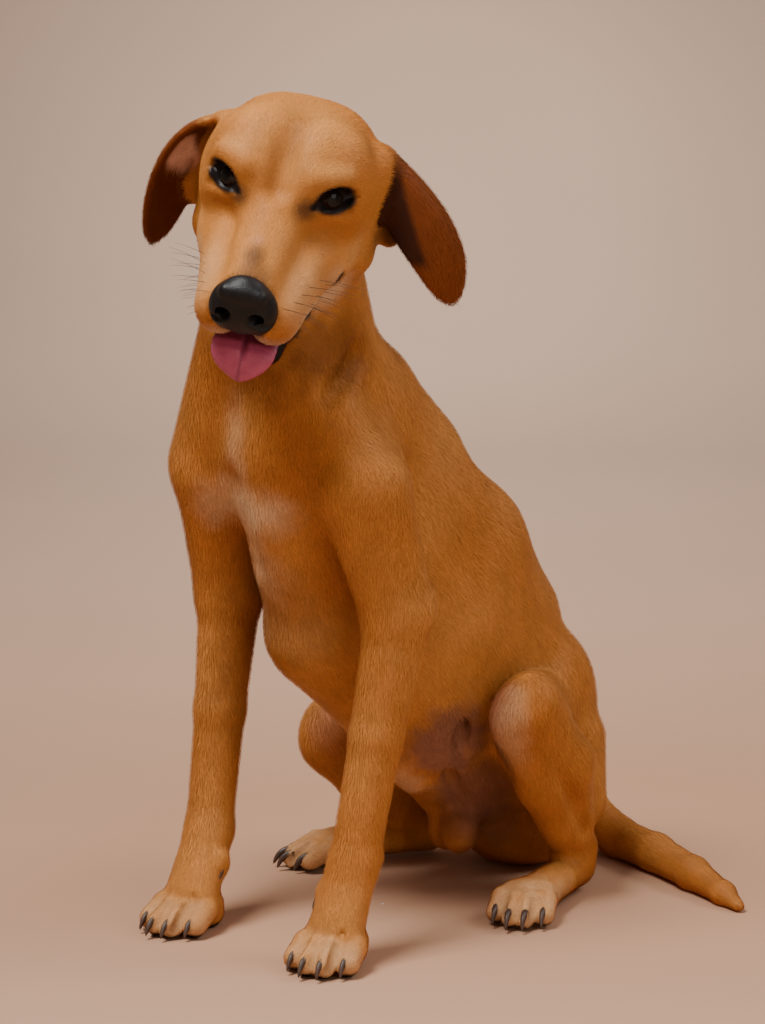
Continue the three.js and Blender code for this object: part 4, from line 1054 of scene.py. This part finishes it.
def eye_look():
    look = Look("wet_eye", Coat_Weight=0.3, Coat_Roughness=0.02, Specular_IOR_Level=0.1)
    gaze = look.attribute("gaze")
    ramp = look.node("ValToRGB", Fac=gaze)
    ramp.color_ramp.interpolation = "EASE"
    stops = [
        (0.0, (0.002, 0.002, 0.002)), (0.26, (0.002, 0.002, 0.002)), (0.31, (0.010, 0.005, 0.003)),
        (0.56, (0.020, 0.009, 0.005)), (0.68, (0.006, 0.004, 0.003)), (0.80, (0.030, 0.020, 0.018)),
        (1.0, (0.06, 0.035, 0.03)),
    ]
    while len(ramp.color_ramp.elements) < len(stops):
        ramp.color_ramp.elements.new(0.5)
    for element, (at, colour) in zip(ramp.color_ramp.elements, stops):
        element.position = at
        element.color = (*colour, 1)
    streaks = look.fit(look.noise(900.0, 3.0), 0.3, 0.7, 0.75, 1.25)
    look.set("Base Color", look.times(ramp.outputs["Color"], streaks))
    look.set("Roughness", look.fit(gaze, 0.5, 0.8, 0.08, 0.3))
    return look.material


def claw_look(colours):
    look = Look("claw_horn", Specular_IOR_Level=0.45)
    along = look.attribute("along")
    grain = look.fit(look.noise(700.0, 3.0), 0.3, 0.7, 0.75, 1.2)
    base = look.blend(along, (*colours.claw, 1), (*colours.claw_tip, 1))
    look.set("Base Color", look.times(base, grain))
    look.set("Roughness", look.fit(along, 0.0, 1.0, 0.38, 0.5))
    look.bump(look.noise(1200.0, 2.0), 0.2, 0.0003)
    return look.material


def whisker_look():
    look = Look("whisker", Specular_IOR_Level=0.5)
    root, tip = (0.02, 0.012, 0.008, 1), (0.10, 0.06, 0.04, 1)
    look.set("Base Color", look.blend(look.attribute("along"), root, tip))
    look.set("Roughness", look.fit(look.noise(400.0, 1.0), 0.3, 0.7, 0.35, 0.5))
    return look.material


# ---- the skin -------------------------------------------------------------------------------------

FLESH_NODES = [
    "head", "lower_jaw", "neck", "chest", "belly", "rump", "tail_base", "tail_tip", "ear_left", "ear_right",
    *(f"foreleg_{s}_{part}" for s in ("left", "right") for part in ("upper", "lower", "paw")),
    *(f"hindleg_{s}_{part}" for s in ("left", "right") for part in ("thigh", "shank", "foot")),
]

SKIN = {}  # the skin's arrays, which the coat grows from


def skin_axes(step):
    return [
        graded([(-150, 1.9 * step), (225, None)]),
        graded([(-375, 1.5 * step), (-180, 2.6 * step), (95, None)]),
        graded([(-6, 1.6 * step), (50, 2.7 * step), (425, 1.35 * step), (600, None)]),
    ]


def make_skin(step, shades):
    points, quads = surface_of(flesh, skin_axes(step), 11 * step)
    normals = vertex_normals(points, quads)
    points[:, 2] = np.maximum(points[:, 2], 0)
    colour, fur, wet = paint(points, normals, shades)
    piece = add_mesh("skin", points, quads, skin_look())
    note(piece, "tone", colour)
    note(piece, "wet", wet)
    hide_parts(*FLESH_NODES)
    SKIN.update(points=points, quads=quads, normals=normals, colour=colour, fur=fur)
    return piece


class Unwrap:
    """An unwrap of the skin's own shape, on a coarse copy of it."""

    def __init__(self, step=9.0):
        axes = [np.arange(low, high, step) for low, high in ((-160, 240), (-390, 110), (-15, 615))]
        self.points, self.quads = surface_of(flesh, axes, 34)
        mesh = bpy.data.meshes.new("unwrap")
        mesh.from_pydata(self.points * MM, [], self.quads.tolist())
        copy = bpy.data.objects.new("unwrap", mesh)
        bpy.context.scene.collection.objects.link(copy)
        bpy.ops.object.select_all(action="DESELECT")
        copy.select_set(True)
        bpy.context.view_layer.objects.active = copy
        bpy.ops.object.mode_set(mode="EDIT")
        bpy.ops.mesh.select_all(action="SELECT")
        bpy.ops.uv.smart_project(angle_limit=math.radians(66), island_margin=0.004)
        bpy.ops.object.mode_set(mode="OBJECT")
        uv = np.zeros(len(mesh.loops) * 2, np.float32)
        mesh.uv_layers.active.data.foreach_get("uv", uv)
        self.uv = uv.reshape(-1, 4, 2)
        bpy.data.objects.remove(copy)
        bpy.data.meshes.remove(mesh)
        triangles = np.concatenate([self.quads[:, [0, 1, 2]], self.quads[:, [0, 2, 3]]])
        self.triangles = triangles
        self.tree = BVHTree.FromPolygons([Vector(p) for p in self.points], triangles.tolist())

    def place(self, roots):
        found = [self.tree.find_nearest(p)[0:3:2] for p in roots]
        where = np.array([f[0] for f in found])
        index = np.array([f[1] for f in found])
        a, b, c = (self.points[self.triangles[index, k]] for k in range(3))
        n = np.cross(b - a, c - a)
        size = np.maximum(row_dot(n, n), 1e-9)
        v = row_dot(np.cross(where - a, c - a), n) / size
        w = row_dot(np.cross(b - a, where - a), n) / size
        quad = index % len(self.quads)
        corners = np.where((index < len(self.quads))[:, None], [[0, 1, 2]], [[0, 2, 3]])
        ua, ub, uc = (self.uv[quad, corners[:, k]] for k in range(3))
        return ua + (ub - ua) * v + (uc - ua) * w


# ---- the coat -------------------------------------------------------------------------------------

TUFTS_PER_PIECE = 62_000
PATCH = 0.003  # the size of a tuft's patch on the unwrap
CURVE_REACH = 8.0  # how far along the lie the skin's curve is felt


def regions(points):
    """A name for each root's part of the body, so the coat comes in sensible pieces."""
    local = HEAD.local(points)
    near_head = np.linalg.norm(local - (0, 10, -30), axis=1) < 128
    names = np.full(len(points), "trunk", dtype=object)
    names[points[:, 2] > 360] = "neck"
    names[(points[:, 2] < 245) & (points[:, 1] < -185)] = "forelegs"
    names[(points[:, 2] < 178) & (points[:, 1] >= -185)] = "hindquarters"
    names[near_head & (local[:, 1] >= 22)] = "skull"
    names[near_head & (local[:, 1] < 22)] = "face"
    return names


class Roots:
    """Where the tufts stand: close where the hair is short, and none where the skin is bare."""

    def __init__(self, count, thickness):
        points, quads = SKIN["points"], SKIN["quads"]
        a, b, c, d = (points[quads[:, k]] for k in range(4))
        area = np.linalg.norm(np.cross(c - a, d - b), axis=1) / 2
        chance = area * (thickness * SKIN["fur"])[quads].mean(1)
        stops = (np.arange(count) + rng.random(count)) / count
        quad = np.minimum(np.searchsorted(np.cumsum(chance / chance.sum()), stops), len(quads) - 1)
        u, v = rng.random((2, count))
        self.weights = np.stack([(1 - u) * (1 - v), u * (1 - v), u * v, (1 - u) * v], -1)
        self.corners = quads[quad]

    def at(self, values):
        return np.einsum("ij,ij...->i...", self.weights, values[self.corners])


BLADE_CORNERS = 5  # two at the root, two at the middle and the tip
MIDDLE = 0.45  # how far along a tuft its broadest place is
ROOT_SINK = 0.3
BLADE_FALL = np.array([0.0, 0.0, MIDDLE, MIDDLE, 1.0])
BLADE_PATCH = np.array([[-0.2, 0], [0.2, 0], [-0.2, MIDDLE], [0.2, MIDDLE], [0, 1.0]]) * PATCH


def grow_coat(count, length_factor):
    lie = lie_of(SKIN["points"], SKIN["normals"])
    length, width, thickness = hair_sizes(SKIN["points"])
    drop = np.clip(in_chunks(flesh, SKIN["points"] + lie * CURVE_REACH), -4, 6)
    roots = Roots(count, thickness)
    root, normal, way = roots.at(SKIN["points"]), units(roots.at(SKIN["normals"])), roots.at(lie)
    way = way + np.cross(normal, way) * rng.normal(0, 0.11, count)[:, None]
    way = units(way - normal * row_dot(way, normal))
    across = np.cross(normal, way)
    size = roots.at(length) * length_factor * rng.uniform(0.7, 1.15, count)
    wide = roots.at(width) * rng.uniform(0.7, 1.2, count) / 2
    depth = coat_depth(root) * rng.uniform(0.6, 0.97, count)
    bend = roots.at(drop) / CURVE_REACH**2
    roll = rng.normal(0, 0.12, count)
    tilted = across * np.cos(roll)[:, None] + normal * np.sin(roll)[:, None]
    sway = rng.normal(0, 0.05, count) * size

    def along(t, height, side):
        reach = size * t
        lift = height - bend * reach**2
        return root + way * reach[:, None] + normal * lift[:, None] + tilted * side[:, None]

    blade = [along(0, -ROOT_SINK, side) for side in (wide * 0.6, -wide * 0.6)]
    blade += [along(MIDDLE, depth * 0.75, side + sway * 0.3) for side in (wide, -wide)]
    blade += [along(1.0, depth, sway)]
    points = np.stack(blade, 1)
    points[..., 2] = np.maximum(points[..., 2], 0.2)
    tufts = dict(
        points=points,
        shading=units(normal + way * 0.08 + rng.normal(0, 0.07, (count, 3))),
        colour=roots.at(SKIN["colour"]) * rng.uniform(0.92, 1.08, (count, 1)),
        strand=np.exp(rng.normal(0, 0.08, count)),
        uv=Unwrap().place(root),
    )
    look = coat_look()
    names = regions(root)
    for name in ("face", "skull", "neck", "trunk", "forelegs", "hindquarters"):
        own = np.flatnonzero(names == name)
        for k, part in enumerate(np.array_split(own, max(1, math.ceil(len(own) / TUFTS_PER_PIECE)))):
            if len(part):
                add_tufts(f"coat_{name}_{k + 1}", look, **{key: value[part] for key, value in tufts.items()})


def add_tufts(name, look, points, shading, colour, strand, uv):
    first = np.arange(len(points))[:, None] * BLADE_CORNERS
    quads, tips = first + np.array([[1, 3, 2, 0]]), first + np.array([[3, 4, 2]])
    piece = add_mesh(name, points.reshape(-1, 3), [quads, tips], look)
    note(piece, "tone", np.repeat(colour, BLADE_CORNERS, 0))
    note(piece, "strand", np.repeat(strand, BLADE_CORNERS))
    note(piece, "tip", np.tile(BLADE_FALL, len(points)))
    corner_uv = (uv[:, None, :] + BLADE_PATCH - (0, PATCH / 2)).reshape(-1, 2)
    layer = piece.data.uv_layers.new(name="OFBake")
    corners = np.concatenate([quads.ravel(), tips.ravel()])
    layer.data.foreach_set("uv", np.clip(corner_uv[corners], 0, 1).astype(np.float32).ravel())
    piece.data.normals_split_custom_set_from_vertices(np.repeat(shading, BLADE_CORNERS, 0))


# ---- eyes, nose, tongue, claws and whiskers --------------------------------------------------------


def ring_faces(rings, sides):
    """Quads between rings of corners, each ring one step further on."""
    faces = []
    for k in range(rings - 1):
        for j in range(sides):
            a, b = k * sides + j, k * sides + (j + 1) % sides
            faces.append((a, b, b + sides, a + sides))
    return np.array(faces)


def end_caps(rings, sides):
    return [np.arange(sides)[None, :], np.arange((rings - 1) * sides, rings * sides)[None, ::-1]]


CORNEA_BULGE, LID_GAP = 0.7, 0.9


def make_eye(s, node):
    place = eye_place(s)
    sides, rings = 48, 40
    points, gaze = [], []
    for a in np.linspace(0.02, math.pi - 0.02, rings):
        r = EYE_RADIUS - LID_GAP + CORNEA_BULGE * (1 - smooth(0.35, 0.75, a))
        out, depth = r * math.sin(a), -r * math.cos(a)
        for j in range(sides):
            turn = 2 * math.pi * j / sides
            points.append(place.at((out * math.cos(turn), depth, out * math.sin(turn))))
            gaze.append(min(1.0, a / 1.4))
    faces = [ring_faces(rings, sides), *end_caps(rings, sides)]
    piece = add_mesh(f"{node}_ball", np.array(points), faces, eye_look())
    note(piece, "gaze", np.array(gaze))
    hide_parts(node)


def make_form_piece(name, node, forms, step, look):
    group = group_of(forms)
    axes = [np.arange(c - group.radius - 3, c + group.radius + 3, step) for c in group.centre]

    def field(p):
        return group_distance(group, np.ascontiguousarray(p, np.float32))

    points, quads = surface_of(field, axes, 4 + 4 * step)
    piece = add_mesh(name, points, quads, look)
    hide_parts(node)
    return piece, points


def curve_at(points, t):
    """A bend through three points."""
    a, b, c = (np.asarray(p, float) for p in points)
    return a * (1 - t) * (1 - 2 * t) + b * 4 * t * (1 - t) + c * t * (2 * t - 1)


def claw_list():
    claws = []
    for word, fore, hind in (("left", LEFT_FORE, LEFT_HIND), ("right", RIGHT_FORE, RIGHT_HIND)):
        for name, leg, size in ((f"fore_{word}", fore, FORE_PAW), (f"hind_{word}", hind, HIND_PAW)):
            place = paw_place(leg["foot"], leg["toes_out"], leg["side"])
            for k, i in enumerate(TOES):
                x, y = toe_across(i, size) * 1.08, toe_back(i) - 33
                points = [(x, y + 1, 13), (x, y - 7, 10.5), (x * 1.02, y - 12, 2.8)]
                claws.append((f"claw_{name}_{k + 1}", place, points, 3.2))
        place = paw_place(fore["foot"], fore["toes_out"], fore["side"])
        x = -fore["side"] * 16.5
        claws.append((f"dewclaw_{word}", place, [(x, 14, 45), (x * 1.16, 9, 40), (x * 1.12, 5, 34)], 2.6))
    return claws


def tube(place, points, radii, sides):
    """Rings of corners round a bend through three points, with a point at its end."""
    rings = len(radii)
    across = place.turn((1, 0, 0))
    out = []
    for k, r in enumerate(radii):
        t = k / (rings - 1)
        centre = place.at(curve_at(points, t))
        ahead = place.at(curve_at(points, min(1, t + 0.05)))
        behind = place.at(curve_at(points, max(0, t - 0.05)))
        up = unit(np.cross(across, ahead - behind))
        for j in range(sides):
            a = 2 * math.pi * j / sides
            out.append(centre + (across * 0.8 * math.cos(a) + up * math.sin(a)) * r)
    return np.array(out)


def make_claws(colours):
    look = claw_look(colours)
    sides, rings = 14, 12
    for name, place, points, radius in claw_list():
        t = np.linspace(0, 1, rings)
        radii = radius * (1 - 0.64 * t**1.4) * np.sqrt(1.02 - t**12)
        corners = tube(place, points, radii, sides)
        faces = [ring_faces(rings, sides)[:, ::-1], *end_caps(rings, sides)]
        piece = add_mesh(f"{name}_horn", corners, faces, look)
        note(piece, "along", np.repeat(t, sides))
        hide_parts(name)


def make_whiskers():
    """Whiskers in four rows on each side of the lips."""
    points, along, sides, rings = [], [], 5, 7
    roots = []
    for s in (1, -1):
        for row, z in enumerate((-33, -40, -47, -54)):
            for k in range(5):
                y = -84 + 9 * k + 3 * row
                x = 30 + 1.2 * k - 1.5 * row
                out = (s * (0.9 + 0.05 * k), 0.15 + 0.12 * k, -0.15 - 0.16 * row)
                roots.append(((s * x, y, z), out, 20 + 5 * k))
    for start, out, reach in roots:
        start = np.array(start, float)
        out = unit(np.array(out) + rng.normal(0, 0.10, 3))
        reach *= rng.uniform(0.75, 1.15)
        inward = start - out * 6
        sag = np.array([0, 0.12, -0.22]) * reach
        bend = [inward, start + out * reach * 0.5 + sag * 0.25, start + out * reach + sag]
        points.append(tube(HEAD, bend, np.linspace(0.26, 0.06, rings), sides))
        along.append(np.repeat(np.linspace(0, 1, rings), sides))
    base = ring_faces(rings, sides)[:, ::-1]
    faces = np.concatenate([base + k * rings * sides for k in range(len(points))])
    piece = add_mesh("whiskers", np.concatenate(points), faces, whisker_look())
    note(piece, "along", np.concatenate(along))


# ---- stage ----------------------------------------------------------------------------------------

AIM = np.array([12, -161.5, 290]) * MM
VIEW_AZIMUTH, VIEW_ELEVATION, VIEW_DISTANCE = 44.0, 8.5, 2.3
LENS = 112.5  # on 36 mm, the frame's long side


def make_camera():
    a, e = math.radians(VIEW_AZIMUTH), math.radians(VIEW_ELEVATION)
    toward = np.array([math.sin(a) * math.cos(e), -math.cos(a) * math.cos(e), math.sin(e)])
    data = bpy.data.cameras.new("camera")
    data.lens = LENS
    data.sensor_fit = "VERTICAL"
    data.sensor_height = 36
    camera = bpy.data.objects.new("camera", data)
    camera.location = AIM + toward * VIEW_DISTANCE
    camera.rotation_euler = Vector(-toward).to_track_quat("-Z", "Y").to_euler()
    bpy.context.scene.collection.objects.link(camera)
    bpy.context.scene.camera = camera


def add_light(name, location, size, power, colour):
    data = bpy.data.lights.new(name, "AREA")
    data.shape = "DISK"
    data.size = size
    data.energy = power
    data.color = colour
    light = bpy.data.objects.new(name, data)
    light.location = location
    light.rotation_euler = (Vector(AIM) - Vector(location)).to_track_quat("-Z", "Y").to_euler()
    bpy.context.scene.collection.objects.link(light)


FLOOR_REACH, SWEEP, WALL_TOP = 2.6, 1.6, 6.0  # metres
GLOW_HEIGHT = 0.35


def paper_look(settings):
    """Paper, warmer by the dog, with painted light: lighter on the wall, and a painted glow that falls off to
    the sides and the top.
    """
    look = Look("studio_paper", Roughness=0.9, Specular_IOR_Level=0.15)
    spot = look.node("TexCoord").outputs["Object"]
    turn = math.radians(VIEW_AZIMUTH)
    sideways = (math.cos(turn), math.sin(turn), 0)
    across = look.node("VectorMath", {"operation": "DOT_PRODUCT"}, i0=spot, i1=sideways).outputs["Value"]
    height = look.math("SUBTRACT", look.node("SeparateXYZ", i0=spot).outputs["Z"], GLOW_HEIGHT)
    flat = look.node("CombineXYZ", i0=across, i2=height).outputs[0]
    away, reach = (
        look.node("VectorMath", {"operation": "LENGTH"}, i0=vector).outputs["Value"] for vector in (flat, spot)
    )
    # painted glow: lightest along the line of view at GLOW_HEIGHT, falling off to the sides and the top
    glow = look.fit(away, 0.3, 1.2, 1.0, 0.42)
    tone = look.math("MULTIPLY", glow, look.fit(look.noise(1.2, 2.0), 0.3, 0.7, 0.97, 1.03))
    # the wall's paper lighter than the floor's: painted light on the wall
    paper = look.blend(look.fit(reach, 0.3, 3.0, 0.0, 1.0), (*settings.floor, 1), (*settings.backdrop, 1))
    look.set("Base Color", look.times(paper, tone))
    return look.material


def make_backdrop(settings):
    """A floor that sweeps up into a round wall far behind."""
    turns = np.linspace(0.1, math.pi / 2, 12)
    profile = [(0.001, 0.0), (1.2, 0.0), (FLOOR_REACH, 0.0)]
    profile += [(FLOOR_REACH + SWEEP * math.sin(a), SWEEP * (1 - math.cos(a))) for a in turns]
    profile += [(FLOOR_REACH + SWEEP, WALL_TOP)]
    sides = 72
    points = []
    for radius, z in profile:
        for a in np.arange(sides) * 2 * math.pi / sides:
            points.append((AIM[0] + radius * math.cos(a), AIM[1] + radius * math.sin(a), z))
    mesh = bpy.data.meshes.new("backdrop")
    mesh.from_pydata(np.array(points).tolist(), [], ring_faces(len(profile), sides)[:, ::-1].tolist())
    mesh.shade_smooth()
    mesh.materials.append(paper_look(settings))
    floor = bpy.data.objects.new("backdrop", mesh)
    bpy.context.scene.collection.objects.link(floor)


# ---- settings, operators and panel ----------------------------------------------------------------


def number(name, description, default, **more):
    return FloatProperty(name=name, description=description, default=default, **more)


def paint_pot(name, description, default):
    return FloatVectorProperty(name=name, description=description, default=tuple(default), subtype="COLOR")


class DogSettings(bpy.types.PropertyGroup):
    """Sizes of the dog's skin and coat."""

    skin_step: number("Skin step", "Coarseness of the skin's mesh, against its usual one", 1.0, min=0.6)
    tufts: IntProperty(name="Tufts", description="How many tufts the coat has", default=420_000, min=1000)
    hair_length: number("Hair length", "Tuft length, against a short coat's", 1.0, min=0.2)


class CoatColours(bpy.types.PropertyGroup):
    """Colours of the coat and the bare skin."""

    tan: paint_pot("Tan", "Most of the coat", linear(190, 117, 50))
    gold: paint_pot("Gold", "Paler streaks, the underside and the legs", linear(214, 152, 82))
    deep: paint_pot("Deep tan", "The back, the tail and the forehead's middle", linear(152, 86, 32))
    pale: paint_pot("Pale tan", "The forehead and the brows", linear(228, 168, 96))
    cream: paint_pot("Cream", "The breast, the lips and the toes", linear(232, 202, 164))
    dun: paint_pot("Dun", "The keel of the chest", linear(172, 126, 80))
    # a painted shade: under the jaw, and inside the right foreleg
    shaded: paint_pot("Shaded tan", "The throat and inside the right foreleg", linear(104, 48, 10))
    # a smudge above the nose and at the eyes, and painted shade between the toes
    smudge_and_shade: paint_pot("Smudge", "Above the nose and at the eyes", linear(78, 52, 36))
    ear_red: paint_pot("Ear red", "The ears", linear(126, 60, 18))
    # painted shade for the left ear's fold and lower lobe
    ear_fold_shade: paint_pot("Ear dark", "The left ear's fold", linear(52, 22, 8))
    ear_pink: paint_pot("Ear pink", "The right ear's hollow", linear(236, 186, 160))
    black: paint_pot("Black", "The lids' rims and the lips", linear(24, 19, 19))
    lip_grey: paint_pot("Lip grey", "The upper lip under the nose", linear(196, 172, 150))
    bridge_pink: paint_pot("Bridge pink", "A spot on the bridge of the nose", linear(196, 140, 120))
    grey_skin: paint_pot("Grey skin", "The groin", linear(138, 96, 82))
    pink_skin: paint_pot("Pink skin", "Inside the knees", linear(204, 146, 122))


class PieceColours(bpy.types.PropertyGroup):
    """Colours of the nose, the tongue and the claws."""

    nose: paint_pot("Nose", "The nose's leather", (0.003, 0.003, 0.004))
    nose_worn: paint_pot("Worn nose", "Where the leather is rubbed", (0.008, 0.0075, 0.009))
    tongue: paint_pot("Tongue", "The tongue", (0.36, 0.06, 0.13))
    tongue_light: paint_pot("Light tongue", "The tongue's mottling", (0.46, 0.09, 0.18))
    # painted shade, for the tongue's groove and its back
    tongue_shade: paint_pot("Deep tongue", "The groove and the back of the tongue", (0.17, 0.03, 0.07))
    claw: paint_pot("Claw", "The claws at their roots", (0.030, 0.016, 0.012))
    claw_tip: paint_pot("Claw tip", "The claws at their tips", (0.085, 0.05, 0.036))


class StageSettings(bpy.types.PropertyGroup):
    """The studio's light and paper."""

    key: number("Key light", "Power of the main light", 150.0, unit="POWER")
    fill: number("Fill light", "Power of the fill light", 16.0, unit="POWER")
    back: number("Back light", "Power of the light from behind", 34.0, unit="POWER")
    around: number("Light around", "Strength of the light from all round", 0.5)
    # the wall's paper is lighter than the floor's: painted light on the wall
    backdrop: paint_pot("Backdrop", "Colour of the paper on the wall", (0.98, 0.74, 0.58))
    floor: paint_pot("Floor", "Colour of the paper by the dog", (0.48, 0.28, 0.18))


class DOG_OT_skin(bpy.types.Operator):
    """Build the one skin that replaces the nodes of flesh"""

    bl_idname = "dog.skin"
    bl_label = "Skin"

    def execute(self, context):
        pots = context.scene.dog_coat
        shades = {name: np.array(getattr(pots, name)) for name in CoatColours.__annotations__}
        make_skin(context.scene.dog.skin_step * (1.0), shades)
        return {"FINISHED"}


class DOG_OT_coat(bpy.types.Operator):
    """Grow the coat of short tufts on the skin"""

    bl_idname = "dog.coat"
    bl_label = "Coat"

    def execute(self, context):
        settings = context.scene.dog
        grow_coat(settings.tufts // (1), settings.hair_length)
        return {"FINISHED"}


class DOG_OT_eyes(bpy.types.Operator):
    """Build the two eyeballs"""

    bl_idname = "dog.eyes"
    bl_label = "Eyes"

    def execute(self, context):
        make_eye(1, "eye_left")
        make_eye(-1, "eye_right")
        return {"FINISHED"}


class DOG_OT_nose(bpy.types.Operator):
    """Build the leather of the nose"""

    bl_idname = "dog.nose"
    bl_label = "Nose"

    def execute(self, context):
        look = nose_look(context.scene.dog_pieces)
        make_form_piece("nose_leather", "nose", nose(), 0.55, look)
        return {"FINISHED"}


class DOG_OT_tongue(bpy.types.Operator):
    """Build the tongue"""

    bl_idname = "dog.tongue"
    bl_label = "Tongue"

    def execute(self, context):
        look = tongue_look(context.scene.dog_pieces)
        piece, points = make_form_piece("tongue_flesh", "tongue", tongue(), 0.8, look)
        local = HEAD.local(points)
        # painted shade: in the groove, and at the back where the mouth shades the tongue
        groove = 1 - smooth(0.2, 1.8, np.abs(local[:, 0] - 1.5))
        back = smooth(-92, -74, local[:, 1])
        note(piece, "deep", np.clip(0.55 * groove + 0.75 * back, 0, 1))
        return {"FINISHED"}


class DOG_OT_claws(bpy.types.Operator):
    """Build the claws and dewclaws"""

    bl_idname = "dog.claws"
    bl_label = "Claws"

    def execute(self, context):
        make_claws(context.scene.dog_pieces)
        return {"FINISHED"}


class DOG_OT_whiskers(bpy.types.Operator):
    """Build the whiskers"""

    bl_idname = "dog.whiskers"
    bl_label = "Whiskers"

    def execute(self, context):
        make_whiskers()
        return {"FINISHED"}


class DOG_OT_stage(bpy.types.Operator):
    """Set the camera, the lights and the floor"""

    bl_idname = "dog.stage"
    bl_label = "Stage"

    def execute(self, context):
        settings = context.scene.dog_stage
        make_camera()
        make_backdrop(settings)
        add_light("key", (-0.2, -1.5, 3.2), 1.4, settings.key, (1.0, 0.97, 0.93))
        add_light("fill", (2.6, -0.9, 1.2), 2.0, settings.fill, (1.0, 0.98, 0.96))
        add_light("back", (1.5, 1.5, 2.3), 1.4, settings.back, (1.0, 0.97, 0.94))
        world = bpy.data.worlds.new("studio")
        world.use_nodes = True
        background = world.node_tree.nodes["Background"]
        background.inputs["Color"].default_value = (1.0, 0.95, 0.90, 1)
        background.inputs["Strength"].default_value = settings.around
        context.scene.world = world
        return {"FINISHED"}


STEPS = ("stage", "skin", "eyes", "nose", "tongue", "claws", "whiskers", "coat")
GROUPS_OF_SETTINGS = {
    "dog": DogSettings, "dog_coat": CoatColours, "dog_pieces": PieceColours, "dog_stage": StageSettings,
}


class DOG_PT_panel(bpy.types.Panel):
    """Lists the dog's pieces"""

    bl_label = "Sitting dog"
    bl_idname = "DOG_PT_panel"
    bl_space_type = "VIEW_3D"
    bl_region_type = "UI"
    bl_category = "Dog"

    def draw(self, context):
        for group, kind in GROUPS_OF_SETTINGS.items():
            for name in kind.__annotations__:
                self.layout.prop(getattr(context.scene, group), name)
        for step in STEPS:
            self.layout.operator(f"dog.{step}")


CLASSES = (
    *GROUPS_OF_SETTINGS.values(), DOG_OT_skin, DOG_OT_coat, DOG_OT_eyes, DOG_OT_nose, DOG_OT_tongue,
    DOG_OT_claws, DOG_OT_whiskers, DOG_OT_stage, DOG_PT_panel,
)


def register():
    for cls in CLASSES:
        bpy.utils.register_class(cls)
    for name, group in GROUPS_OF_SETTINGS.items():
        setattr(bpy.types.Scene, name, PointerProperty(type=group))


def unregister():
    for name in GROUPS_OF_SETTINGS:
        delattr(bpy.types.Scene, name)
    for cls in reversed(CLASSES):
        bpy.utils.unregister_class(cls)


def main():
    register()
    for step in STEPS:
        getattr(bpy.ops.dog, step)()


if __name__ == "__main__":
    main()
